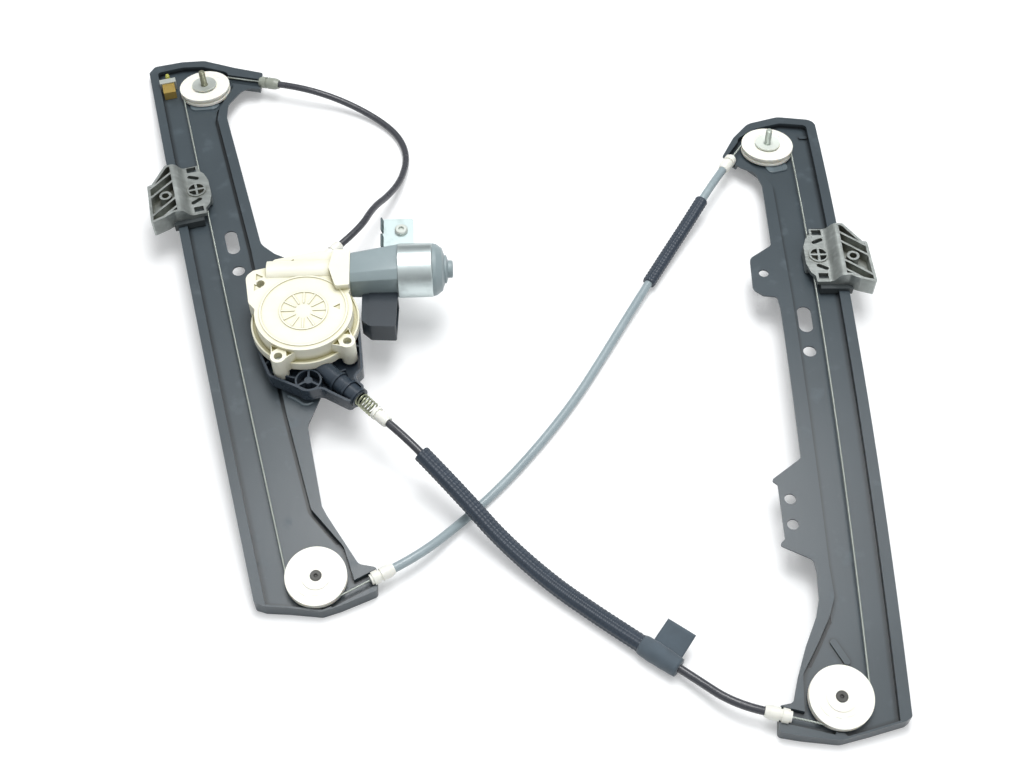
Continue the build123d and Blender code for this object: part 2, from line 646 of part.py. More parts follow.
with BuildPart() as drum_base:
    with BuildSketch(level(base_bottom)):
        add(base_outline)
    extrude(amount=base_height)
    with BuildSketch(level(base_bottom + base_floor)):
        add(base_inner)
    extrude(amount=base_height, mode=Mode.SUBTRACT)
    with BuildSketch(level(base_bottom)):
        Circle(cup_radius + base_wall)
        Circle(cup_radius, mode=Mode.SUBTRACT)
        with Locations(ring_place):
            Circle(ring_radius + 1.4)
            Circle(ring_radius, mode=Mode.SUBTRACT)
            Circle(3.4)
        with Locations(ring_place):
            with PolarLocations(ring_radius / 2 + 1.5, 3, start_angle=90):
                Rectangle(ring_radius - 2, 1.8)
    extrude(amount=base_height)
    with BuildSketch(level(base_bottom)):
        with Locations(*[(x * 0.98, y * 0.98) for x, y in tower_places]):
            Circle(tower_radius)
    extrude(amount=tower_pad_height)
    with BuildSketch(level(base_bottom)):
        add(rib_plan)
    extrude(amount=base_height - 2)
    with BuildSketch(level(base_bottom + tower_pad_height)):
        with Locations(*tower_places):
            Circle(tower_radius + clearance)
    extrude(amount=base_height, mode=Mode.SUBTRACT)
    with BuildSketch(nozzle_plane.offset(-nozzle_length)):
        Circle(nozzle_radius)
    extrude(amount=nozzle_length)
    for collar in (3, 14, 26):
        with BuildSketch(nozzle_plane.offset(-collar)):
            Circle(nozzle_radius + 1.2)
        extrude(amount=2)
    with BuildSketch(level(base_bottom)):
        Rectangle(400, 400)
    extrude(amount=-10, mode=Mode.SUBTRACT)
    add(base_feet)
    with BuildSketch(inlet_plane.offset(-46)):
        Circle(inlet_radius)
    extrude(amount=46)
    with BuildSketch(level(base_top)):
        Circle(housing_radius + housing_rim + clearance)
    extrude(amount=base_height, mode=Mode.SUBTRACT)
    with BuildSketch(nozzle_plane.offset(-nozzle_recess)):
        Circle(spring_radius + spring_wire_radius + clearance)
    extrude(amount=20, mode=Mode.SUBTRACT)
    with BuildSketch(nozzle_plane.offset(-60)):
        Circle(1.6)
    extrude(amount=60, mode=Mode.SUBTRACT)
    with BuildSketch(level(base_bottom + base_floor)):
        Circle(cup_radius)
    extrude(amount=base_height, mode=Mode.SUBTRACT)
    with BuildSketch(level(base_bottom)):
        with Locations(*tower_places):
            Circle(screw_radius - 0.4)
    extrude(amount=base_height, mode=Mode.SUBTRACT)
    add(rivet_holes, mode=Mode.SUBTRACT)
finish(drum_base, "drum_base")
print("base solids", len(drum_base.part.solids()))

# Rivets that hold the base to the rail
with BuildPart() as base_rivets:
    for across, along in base_rivet_places:
        rim = on_arch(left_frame, across, along, rim_rise).origin
        under = Plane(origin=(rim.X, rim.Y, rim.Z - sheet - clearance))
        over = Plane(origin=(rim.X, rim.Y, base_bottom + base_floor + 0.05))
        with BuildSketch(under.offset(-1.6)):
            Circle(base_rivet_head)
        extrude(amount=1.6)
        with BuildSketch(under):
            Circle(base_rivet_radius)
        extrude(amount=over.origin.Z - under.origin.Z)
        with BuildSketch(over):
            Circle(base_rivet_head)
        extrude(amount=1.4, taper=20)
finish(base_rivets, "base_rivets")

# Cable drum and worm wheel turn together on a pin between base and housing
pin_top = housing_top - housing_wall
with BuildPart() as drum_pin:
    with BuildSketch(level(base_bottom + base_floor)):
        Circle(pin_radius)
    extrude(amount=pin_top - base_bottom - base_floor)
finish(drum_pin, "drum_pin")

hub_hole = pin_radius + running_gap
groove_depth = 1.6
groove_pitch = drum_height / 4
drum_side = [(drum_groove_radius + groove_depth, drum_bottom)]
for turn in range(4):
    low = drum_bottom + turn * groove_pitch
    drum_side += [
        (drum_groove_radius + groove_depth, low + 0.3), (drum_groove_radius, low + groove_pitch / 2),
        (drum_groove_radius + groove_depth, low + groove_pitch - 0.3),
    ]
drum_side += [(drum_groove_radius + groove_depth, drum_top), (hub_hole, drum_top), (hub_hole, drum_bottom)]
cable_drum = turned(drive, drum_side)
finish(cable_drum, "cable_drum")

tooth_root = wheel_tip_radius - tooth_depth
with BuildPart() as worm_wheel:
    with BuildSketch(level(wheel_bottom)):
        Circle(tooth_root)
        with PolarLocations(tooth_root + tooth_depth / 2 - 0.05, wheel_teeth):
            Trapezoid(1.9, tooth_depth + 0.1, 72, rotation=-90)
    extrude(amount=wheel_width)
    with BuildSketch(level(wheel_bottom + 3)):
        Circle(tooth_root - 4)
        Circle(wheel_hub_radius + 2, mode=Mode.SUBTRACT)
    extrude(amount=wheel_width, mode=Mode.SUBTRACT)
    with BuildSketch(level(drum_top)):
        Circle(wheel_hub_radius)
    extrude(amount=wheel_bottom - drum_top)
    with BuildSketch(level(drum_top)):
        Circle(hub_hole)
    extrude(amount=40, mode=Mode.SUBTRACT)
finish(worm_wheel, "worm_wheel")

with BuildPart() as gear_lid:
    with BuildSketch(level(lid_bottom)):
        Circle(cavity_radius - clearance)
        Circle(wheel_hub_radius + 0.6, mode=Mode.SUBTRACT)
    extrude(amount=lid_thickness)
finish(gear_lid, "gear_lid")

# Cream gear housing: round cover, gear body, motor flange, towers and ribs
body_outline = plan([
    (-50, 38, 8), (-44, 44, 2), (-28, 48, 3), (-28, 55, 3), (-6, 60, 6), (14, 64, 4), (motor_start - 0.3, 66, 2),
    (motor_start - 0.3, 20, 2), (34, 8, 4), (20, -10, 2), (-30, -10, 2), (-46, 10, 6),
])
flange_outline = plan([
    (24, 66, 3), (motor_start - 0.3, 67, 1), (motor_start - 0.3, 21, 1), (26, 20, 3), (20, 40, 4),
])
flange_top = motor_height + front_width / 2 - 4
tunnel_radius = worm_tip_radius + 1.2
tunnel_back = worm_length / 2 + 15
tunnel_plane = motor_axis.offset(-tunnel_back)
tower_top = housing_top - 3
screw_seat = tower_top - screw_sink
gusset_back = 15.0
gusset_pocket = 3.4
with BuildPart() as gear_housing:
    with BuildSketch(level(housing_bottom)):
        Circle(housing_radius + housing_rim)
        add(body_outline)
    extrude(amount=housing_rim_height)
    with BuildSketch(level(housing_bottom + housing_rim_height - 1.6)):
        Circle(housing_radius + housing_rim - 1.5)
        Circle(housing_radius - 1, mode=Mode.SUBTRACT)
    extrude(amount=5, mode=Mode.SUBTRACT)
    with BuildSketch(level(housing_bottom)):
        Circle(housing_radius)
        add(body_outline)
    extrude(amount=housing_height)
    with BuildSketch(level(housing_bottom + 2)):
        add(flange_outline)
    extrude(amount=flange_top - housing_bottom - 2)
    with BuildSketch(level(housing_bottom - tower_drop)):
        with Locations(*tower_places):
            Circle(tower_radius)
    extrude(amount=housing_height + tower_drop - 3)
    for place, angle in zip(tower_places, tower_angles):
        with BuildSketch(level(housing_bottom)):
            with Locations(Location((place[0], place[1], 0), (0, 0, angle))):
                Polygon((-gusset_back, -14), (-gusset_back, 14), (0, tower_radius), (0, -tower_radius), align=None)
        extrude(amount=housing_height - 3)
    with BuildSketch(level(housing_top)):
        Circle(housing_radius - 4)
        Circle(housing_radius - 5.4, mode=Mode.SUBTRACT)
        Circle(20)
        Circle(18.8, mode=Mode.SUBTRACT)
        with PolarLocations(13, 12):
            Rectangle(11, 1.2)
    extrude(amount=0.8)
    with BuildSketch(level(housing_top - 1.2)):
        with Locations((-39, 37), (-40, 26), (-22, 46)):
            RegularPolygon(4.2, 3)
        with Locations((28, 3), (-12, 52)):
            RegularPolygon(3.6, 3, rotation=60)
    extrude(amount=5, mode=Mode.SUBTRACT)
    for place, angle in zip(tower_places[:2], tower_angles):
        with BuildSketch(level(tower_top - 3)):
            with Locations(Location((place[0], place[1], 0), (0, 0, angle))):
                with Locations((-5.5, 6.6), (-5.5, -6.6)):
                    RegularPolygon(gusset_pocket, 3)
        extrude(amount=10, mode=Mode.SUBTRACT)
    with BuildSketch(tunnel_plane.offset(-housing_wall)):
        Circle(tunnel_radius + housing_wall)
    extrude(amount=tunnel_back + housing_wall + motor_start - 0.3)
    with BuildSketch(level(housing_bottom)):
        Circle(cavity_radius)
    extrude(amount=housing_height - housing_wall, mode=Mode.SUBTRACT)
    with BuildSketch(tunnel_plane):
        Circle(tunnel_radius)
    extrude(amount=tunnel_back + motor_start, mode=Mode.SUBTRACT)
    with BuildSketch(level(housing_bottom - tower_drop)):
        with Locations(*tower_places):
            Circle(screw_radius + 0.1)
    extrude(amount=60, mode=Mode.SUBTRACT)
    with BuildSketch(level(screw_seat)):
        with Locations(*tower_places):
            Circle(screw_head_radius + clearance)
    extrude(amount=20, mode=Mode.SUBTRACT)
finish(gear_housing, "gear_housing")
print("housing solids", len(gear_housing.part.solids()))

# Screws through the towers into the base
screw_bottom = base_bottom + 1
with BuildPart() as housing_screws:
    with BuildSketch(level(screw_bottom)):
        with Locations(*tower_places):
            Circle(screw_radius - 0.5)
    extrude(amount=screw_seat - screw_bottom)
    with BuildSketch(level(screw_seat)):
        with Locations(*tower_places):
            Circle(screw_head_radius)
    extrude(amount=2.6)
    with BuildSketch(level(screw_seat + 1.0)):
        with Locations(*tower_places):
            RegularPolygon(screw_head_radius - 1.2, 6)
    extrude(amount=5, mode=Mode.SUBTRACT)
finish(housing_screws, "housing_screws")

# Armature: worm shaft, laminated core and commutator on the motor's axis
shaft_end = motor_start + front_length + can_length + cap_length + 2
worm_corners = [(0, -worm_length / 2 - 12), (shaft_radius, -worm_length / 2 - 12), (shaft_radius, -worm_length / 2)]
thread_pitch = 3.0
for turn in range(int(worm_length / thread_pitch)):
    low = -worm_length / 2 + turn * thread_pitch
    worm_corners += [
        (worm_tip_radius - tooth_depth, low + 0.1), (worm_tip_radius, low + 1.0),
        (worm_tip_radius, low + 2.0), (worm_tip_radius - tooth_depth, low + 2.9),
    ]
worm_corners += [(shaft_radius, worm_length / 2), (shaft_radius, shaft_end), (0, shaft_end)]
armature_shaft = turned(motor_axis, worm_corners)
finish(armature_shaft, "armature_shaft")

can_start = motor_start + front_length
core_start = can_start + 2
core_end = can_start + can_length - 4
core_radius = can_radius - can_wall - 4
with BuildPart() as armature_core:
    with BuildSketch(motor_axis.offset(core_start)):
        Circle(core_radius)
        with PolarLocations(core_radius - 2, 10):
            Rectangle(5, 1.6, mode=Mode.SUBTRACT)
        Circle(shaft_radius, mode=Mode.SUBTRACT)
    extrude(amount=core_end - core_start)
finish(armature_core, "armature_core")
commutator_start = can_start - 14
with BuildPart() as commutator:
    with BuildSketch(motor_axis.offset(commutator_start)):
        Circle(8)
        Circle(shaft_radius, mode=Mode.SUBTRACT)
    extrude(amount=11)
finish(commutator, "commutator")

# Motor: plastic front housing, steel can, magnets, bushes and end cap
front_half = front_width / 2
front_flat = front_half - front_chamfer
front_profile = plan([
    (-front_half, -front_flat, 1.5), (-front_flat, -front_half, 1.5), (front_flat, -front_half, 1.5),
    (front_half, -front_flat, 1.5), (front_half, front_flat, 1.5), (front_flat, front_half, 1.5),
    (-front_flat, front_half, 1.5), (-front_half, front_flat, 1.5),
])
brush_room = 15.0
with BuildPart() as motor_front_housing:
    with BuildSketch(motor_axis.offset(motor_start)):
        add(front_profile)
    extrude(amount=front_length)
    with BuildSketch(motor_axis.offset(motor_start)):
        Circle(shaft_radius + 4)
    extrude(amount=12, mode=Mode.SUBTRACT)
    with BuildSketch(motor_axis.offset(motor_start + 12)):
        Circle(shaft_radius + 1)
    extrude(amount=5, mode=Mode.SUBTRACT)
    with BuildSketch(motor_axis.offset(motor_start + 17)):
        Circle(brush_room)
    extrude(amount=front_length, mode=Mode.SUBTRACT)
finish(motor_front_housing, "motor_front_housing")

with BuildPart() as motor_can:
    with BuildSketch(motor_axis.offset(can_start + 0.1)):
        Circle(can_radius)
    extrude(amount=can_length - 0.1)
    with BuildSketch(motor_axis.offset(can_start)):
        Circle(can_radius - can_wall)
    extrude(amount=can_length - can_wall, mode=Mode.SUBTRACT)
    with BuildSketch(motor_axis.offset(can_start)):
        Circle(shaft_radius + 2.5)
    extrude(amount=can_length + 5, mode=Mode.SUBTRACT)
    fillet(motor_can.edges().filter_by(GeomType.CIRCLE).sort_by(Axis((0, 0, 0), motor_axis.z_dir))[-2:]
           .sort_by(SortBy.RADIUS)[-1], radius=1.2)
finish(motor_can, "motor_can")

magnet_outer = can_radius - can_wall - running_gap
with BuildPart() as magnets:
    with BuildSketch(motor_axis.offset(core_start)):
        Circle(magnet_outer)
        Circle(core_radius + 0.8, mode=Mode.SUBTRACT)
        Rectangle(12, 2 * can_radius, mode=Mode.SUBTRACT)
    extrude(amount=core_end - core_start)
finish(magnets, "magnets")

bush_length = 6.0
with BuildPart() as shaft_bushes:
    for start in (motor_start + 3, can_start + can_length + 1):
        with BuildSketch(motor_axis.offset(start)):
            Circle(shaft_radius + 3.8 if start < can_start else shaft_radius + 2.4)
            Circle(shaft_radius + running_gap, mode=Mode.SUBTRACT)
        extrude(amount=bush_length)
finish(shaft_bushes, "shaft_bushes")

with BuildPart() as brushes:
    for side in (-1, 1):
        with BuildSketch(motor_axis.offset(commutator_start + 3)):
            with Locations((side * 11.5, 0)):
                Rectangle(6.6, 5)
        extrude(amount=5)
finish(brushes, "brushes")

cap_start = can_start + can_length
cap_plane = motor_axis.offset(cap_start)
motor_end_cap = turned(cap_plane, [
    (shaft_radius + 2.5, 0), (can_radius - 0.6, 0), (can_radius - 1.2, 3), (can_radius - 5, cap_length - 2),
    (12, cap_length), (12, cap_length + 1.5), (7.5, cap_length + 3), (7.5, cap_length + cap_boss_length - 1),
    (6.5, cap_length + cap_boss_length), (0, cap_length + cap_boss_length), (0, cap_length + 3),
    (shaft_radius + 2.5, cap_length + 3),
])
finish(motor_end_cap, "motor_end_cap")

# Flag bracket behind the front housing, and its screw
bracket_level = motor_height + 2
front_back = motor_offset + front_width / 2
front_end = motor_start + front_length
bracket_start = front_end - 14
bracket_end = front_end + 13
bracket_reach = 36.0
bracket_hole_place = (front_end + 2.5, front_back + bracket_reach - 14)
clear_of_can = motor_offset + can_radius + clearance
with BuildPart() as motor_bracket:
    with BuildSketch(level(bracket_level)) as flag:
        with BuildLine():
            FilletPolyline(
                (bracket_start, front_back + 0.05), (front_end - 0.5, front_back + 0.05),
                (front_end - 0.5, clear_of_can), (bracket_end, clear_of_can),
                (bracket_end, front_back + bracket_reach), (bracket_start, front_back + bracket_reach),
                radius=(1, 1, 1, 2, 3, 2), close=True,
            )
        make_face()
        with Locations(bracket_hole_place):
            Circle(3.2, mode=Mode.SUBTRACT)
    extrude(amount=bracket_thickness)
    with BuildSketch(level(bracket_level - 9)):
        with Locations((bracket_start + bracket_thickness / 2, front_back + bracket_reach / 2 + 1)):
            Rectangle(bracket_thickness, bracket_reach - 4)
        with Locations((bracket_start + 6, front_back + 0.05 + bracket_thickness / 2)):
            Rectangle(12, bracket_thickness)
    extrude(amount=9.1)
finish(motor_bracket, "motor_bracket")
bracket_hole = drive.from_local_coords(Vector(*bracket_hole_place, bracket_level + bracket_thickness))
bracket_screw = turned(Plane(origin=bracket_hole, x_dir=drive.x_dir, z_dir=(0, 0, 1)), [
    (0, -9), (2.6, -9), (3.0, -8), (3.0, 0), (5.6, 0), (5.6, 2.4), (4.6, 3.4), (2.4, 3.4), (2.4, 1.6), (0, 1.6),
])
finish(bracket_screw, "bracket_screw")

# Connector socket beside the front housing, open along the motor, with its pins
connector_top = motor_height - 5
connector_bottom = connector_top - connector_height
front_face = motor_offset - front_width / 2
connector_inside = housing_radius + housing_rim + 0.8
connector_outside = front_end - 1
connector_near = front_face - 0.05
connector_far = front_face - connector_length
connector_plan = plan([
    (connector_inside + 1, connector_near, 2), (connector_outside, connector_near, 1),
    (connector_outside - 2, connector_far, 1.5), (connector_inside + 8, connector_far + 1.5, 3),
    (connector_inside + 0.6, connector_far + 9, 3),
])
socket_back = connector_inside + 9
socket_near = front_face - connector_wall - 2
socket_far = connector_far + connector_wall + 1.5
socket_plan = plan([
    (socket_back, socket_near, 1), (connector_outside + 9, socket_near, 1), (connector_outside + 9, socket_far, 1),
    (socket_back, socket_far, 1),
])
with BuildPart() as connector_housing:
    with BuildSketch(level(connector_bottom)):
        add(connector_plan)
    extrude(amount=connector_height)
    with BuildSketch(level(connector_bottom + connector_wall)):
        add(socket_plan)
    extrude(amount=connector_height - 2 * connector_wall, mode=Mode.SUBTRACT)
    with BuildSketch(level(connector_top - 1.2)):
        with Locations((connector_inside + 2, (connector_near + connector_far) / 2)):
            Rectangle(10, connector_length + 10)
    extrude(amount=5, mode=Mode.SUBTRACT)
finish(connector_housing, "connector_housing")
pin_rows = (connector_bottom + 7, connector_bottom + 13)
pin_spots = [(socket_back + 6, socket_far + 6 + step * 5.5) for step in range(4)]
with BuildPart() as connector_pins:
    for height in pin_rows:
        with BuildSketch(level(height)):
            with Locations(*pin_spots):
                Rectangle(12, 1.6)
        extrude(amount=0.8)
finish(connector_pins, "connector_pins")
print("socket", [[round(v, 2) for v in drive.from_local_coords(Vector(*corner))] for corner in (
    (socket_back, socket_near, connector_bottom), (socket_back, socket_far, connector_bottom),
    (connector_outside, socket_near, connector_top), (connector_outside, socket_far, connector_top))])

# Spring that keeps the long conduit taut, its ferrule, and the fitting of the upper conduit
spring_length = nozzle_recess + spring_showing - 2 * spring_wire_radius
spring_start = nozzle_plane.offset(spring_wire_radius - nozzle_recess)
with BuildPart() as tension_spring:
    with BuildLine() as coil:
        Helix(pitch=spring_length / spring_turns, height=spring_length, radius=spring_radius,
              center=spring_start.origin, direction=spring_start.z_dir)
    with BuildSketch(Plane(origin=coil.line @ 0, z_dir=coil.line % 0)):
        Circle(spring_wire_radius)
    sweep(is_frenet=True)
finish(tension_spring, "tension_spring")

spring_seat = spring_showing + 0.05
collar_radius = spring_radius + spring_wire_radius
spring_ferrule = turned(nozzle_plane.offset(spring_seat), [
    (ferrule_bore, 0), (collar_radius, 0), (collar_radius, 3), (4.4, 3), (4.4, 5), (5.2, 5),
    (5.2, spring_ferrule_length - 2), (4.4, spring_ferrule_length), (ferrule_bore, spring_ferrule_length),
])
finish(spring_ferrule, "spring_ferrule")
upper_fitting = turned(inlet_plane, [
    (0, 0), (5.2, 0), (5.2, 6), (4.0, 6), (4.0, 8), (5.0, 8), (5.0, fitting_length - 2),
    (4.0, fitting_length), (0, fitting_length),
])
finish(upper_fitting, "upper_fitting")
long_start = nozzle_plane.offset(spring_seat + spring_ferrule_length)
upper_end = inlet_plane.offset(fitting_length)
print("long conduit from", [round(v, 1) for v in long_start.origin], [round(v, 3) for v in long_start.z_dir])
print("upper conduit to", [round(v, 1) for v in upper_end.origin], [round(v, 3) for v in upper_end.z_dir])

# Cables: each conduit is a tube through points chosen by hand, bent with tangent arcs
short_of_run = 0.45


def bend_radii(points):
    """Radius of the arc at each inner point of a cable's route."""
    radii = []
    for before, corner, after in zip(points, points[1:], points[2:]):
        coming = corner - before
        going = after - corner
        turn = radians(coming.get_angle(going))
        radii.append(short_of_run * min(coming.length, going.length) / tan(turn / 2))
    return radii


def tube(name, points, radii, outer, bore=0.0):
    """Round tube along straight runs joined by tangent arcs."""
    with BuildPart() as body:
        with BuildLine() as route:
            FilletPolyline(*points, radius=radii)
        with BuildSketch(Plane(origin=route.line @ 0, z_dir=route.line % 0)):
            Circle(outer)
            if bore:
                Circle(bore, mode=Mode.SUBTRACT)
        sweep()
    finish(body, name)
    length = sum(edge.length for edge in route.edges())
    section = pi * (outer**2 - bore**2)
    print(name, "length", round(length, 1), "volume ratio", round(body.part.volume / length / section, 4),
          "radii", [round(radius) for radius in radii])


def halfway(points, first):
    """Middle of the run that starts at a point of the route."""
    return (points[first] + points[first + 1]) / 2


def stretch(points, first, last):
    """Route from the middle of one run to the middle of a later one, with its radii."""
    route = [halfway(points, first)] + points[first + 1:last + 1] + [halfway(points, last)]
    return route, bend_radii(points)[first:last]


def cable_end(end, distance):
    """Point on the line of a ferrule, at a distance beyond its far end."""
    plane = end.ferrule_plane()
    return plane.origin + plane.z_dir * (ferrule_length + distance)


upper_route = [
    cable_end(left_top, 0), cable_end(left_top, 24), Vector(-144, 295, 12), Vector(-110, 278, 5.5),
    Vector(-86, 255, 4), Vector(-76, 227, 4), Vector(-80, 193, 9), Vector(-90, 163, 20), Vector(-102, 138, 32),
    upper_end.origin + upper_end.z_dir * 26, upper_end.origin,
]
tube("upper_conduit", upper_route, bend_radii(upper_route), dark_conduit_radius)

cross_route = [
    cable_end(left_bottom, 0), cable_end(left_bottom, 24), Vector(-14, -168, 4), Vector(16, -136, 4),
    Vector(48, -95, 4), Vector(77, -52, 4), Vector(101, -9, 4), Vector(125, 35, 5.4), Vector(152, 83, 8),
    Vector(182, 133, 14), cable_end(right_top, 26), cable_end(right_top, 0),
]
tube("cross_conduit", cross_route, bend_radii(cross_route), pale_conduit_radius)
route, radii = stretch(cross_route, 7, 9)
tube("cross_sleeve", route, radii, short_sleeve_radius, pale_conduit_radius + sleeve_gap)

long_route = [
    long_start.origin, long_start.origin + long_start.z_dir * 20, Vector(-37, -139, 35), Vector(-10, -166, 25),
    Vector(16, -194, 16), Vector(53, -227, 9), Vector(90, -255, 7.6), Vector(128, -283, 8.6),
    Vector(158, -305, 9.5), cable_end(right_bottom, 22), cable_end(right_bottom, 0),
]
tube("long_conduit", long_route, bend_radii(long_route), long_conduit_radius)
route, radii = stretch(long_route, 1, 7)
tube("long_sleeve", route, radii, long_sleeve_radius, long_conduit_radius + sleeve_gap)
for name, points in (("upper", upper_route), ("cross", cross_route), ("long", long_route)):
    print(name, [tuple(round(value, 1) for value in point) for point in points])

# Cloth tape over the end of the long sleeve, wound tightly
tape_start = 0.6
tape_route = [
    long_route[6] * (1 - tape_start) + long_route[7] * tape_start, long_route[7], halfway(long_route, 7),
]
tape_path_radii = bend_radii(long_route)[6:7]
tape_run = (tape_route[2] - tape_route[0]).normalized()
tape_side = Vector(0, 0, 1).cross(tape_run).normalized()
flag_rise = 20.0
flag_lean = tape_side * cos(radians(flag_rise)) + Vector(0, 0, 1) * sin(radians(flag_rise))
flag_plane = Plane(origin=tape_route[1] + tape_run * 1.5, x_dir=tape_run, z_dir=tape_run.cross(flag_lean))
with BuildPart() as tape_wrap:
    with BuildLine() as route:
        FilletPolyline(*tape_route, radius=tape_path_radii)
    with BuildSketch(Plane(origin=route.line @ 0, z_dir=route.line % 0)):
        Circle(tape_radius)
    sweep(path=route.wire())
    with BuildSketch(flag_plane):
        with Locations((0, tape_radius + flag_reach / 2 - 1)):
            RectangleRounded(flag_width, flag_reach + 2, 1.5)
    extrude(amount=0.4, both=True)
    with BuildSketch(Plane(origin=route.line @ 0, z_dir=route.line % 0)):
        Circle(long_sleeve_radius + sleeve_gap)
    sweep(path=route.wire(), mode=Mode.SUBTRACT)
finish(tape_wrap, "tape_wrap")
print("tape solids", len(tape_wrap.part.solids()))
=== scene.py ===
"""Looks of a twin-rail window regulator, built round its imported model."""

import json
import logging
import math
from bisect import bisect_left
from dataclasses import dataclass
from enum import Enum
from typing import Dict, List, Mapping, Optional, Sequence, Tuple, Union

import bmesh
import bpy
from mathutils import Matrix, Vector


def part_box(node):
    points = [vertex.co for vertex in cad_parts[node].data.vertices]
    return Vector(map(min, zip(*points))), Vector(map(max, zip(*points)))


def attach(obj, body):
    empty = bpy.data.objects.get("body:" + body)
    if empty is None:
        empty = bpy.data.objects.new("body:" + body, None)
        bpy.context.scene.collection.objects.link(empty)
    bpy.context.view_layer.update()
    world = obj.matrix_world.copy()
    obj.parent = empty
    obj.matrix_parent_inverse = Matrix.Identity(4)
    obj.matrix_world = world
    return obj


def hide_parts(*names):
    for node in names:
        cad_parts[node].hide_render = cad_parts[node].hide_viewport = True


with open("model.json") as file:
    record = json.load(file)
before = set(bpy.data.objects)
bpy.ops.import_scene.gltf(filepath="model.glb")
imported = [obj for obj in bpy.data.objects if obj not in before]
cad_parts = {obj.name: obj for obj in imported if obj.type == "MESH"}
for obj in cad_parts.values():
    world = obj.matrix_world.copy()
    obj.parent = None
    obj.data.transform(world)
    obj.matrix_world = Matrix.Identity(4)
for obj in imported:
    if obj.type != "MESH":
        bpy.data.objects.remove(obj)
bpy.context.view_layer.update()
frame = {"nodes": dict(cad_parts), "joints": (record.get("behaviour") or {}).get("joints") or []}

MM = 0.001
FIXED_BODY = "guide_frame"
Point = Tuple[float, float, float]
Colour = Tuple[float, float, float, float]
Mesh = bmesh.types.BMesh
Piece = bpy.types.Object

log = logging.getLogger("window_regulator")


def paint(red: int, green: int, blue: int) -> Colour:
    """Linear colour of a screen colour.

    Args:
        red: Red of the screen colour, 0 to 255.
        green: Green of the screen colour, 0 to 255.
        blue: Blue of the screen colour, 0 to 255.

    Returns:
        The colour that the shader takes, with full opacity.
    """
    def linear(level: int) -> float:
        """Linear level of one channel."""
        share = level / 255
        return share / 12.92 if share <= 0.04045 else ((share + 0.055) / 1.055) ** 2.4

    return (linear(red), linear(green), linear(blue), 1.0)


class Signal:
    """Output socket of a node tree that takes Python's arithmetic."""

    def __init__(self, graph: "Graph", socket: bpy.types.NodeSocket) -> None:
        self.graph = graph
        self.socket = socket

    def _maths(self, operation: str, left: "Value", right: "Value" = 0.0) -> "Signal":
        """Math node on two values."""
        return self.graph.node("ShaderNodeMath", {"operation": operation}, {0: left, 1: right})

    def __add__(self, other: "Value") -> "Signal":
        return self._maths("ADD", self, other)

    def __radd__(self, other: "Value") -> "Signal":
        return self._maths("ADD", other, self)

    def __sub__(self, other: "Value") -> "Signal":
        return self._maths("SUBTRACT", self, other)

    def __rsub__(self, other: "Value") -> "Signal":
        return self._maths("SUBTRACT", other, self)

    def __mul__(self, other: "Value") -> "Signal":
        return self._maths("MULTIPLY", self, other)

    def __rmul__(self, other: "Value") -> "Signal":
        return self._maths("MULTIPLY", other, self)

    def power(self, exponent: float) -> "Signal":
        """The signal raised to a power."""
        return self._maths("POWER", self, exponent)

    def clamped(self) -> "Signal":
        """The signal kept from 0 to 1."""
        return self.graph.node("ShaderNodeClamp", {}, {0: self})


Value = Union[Signal, float]


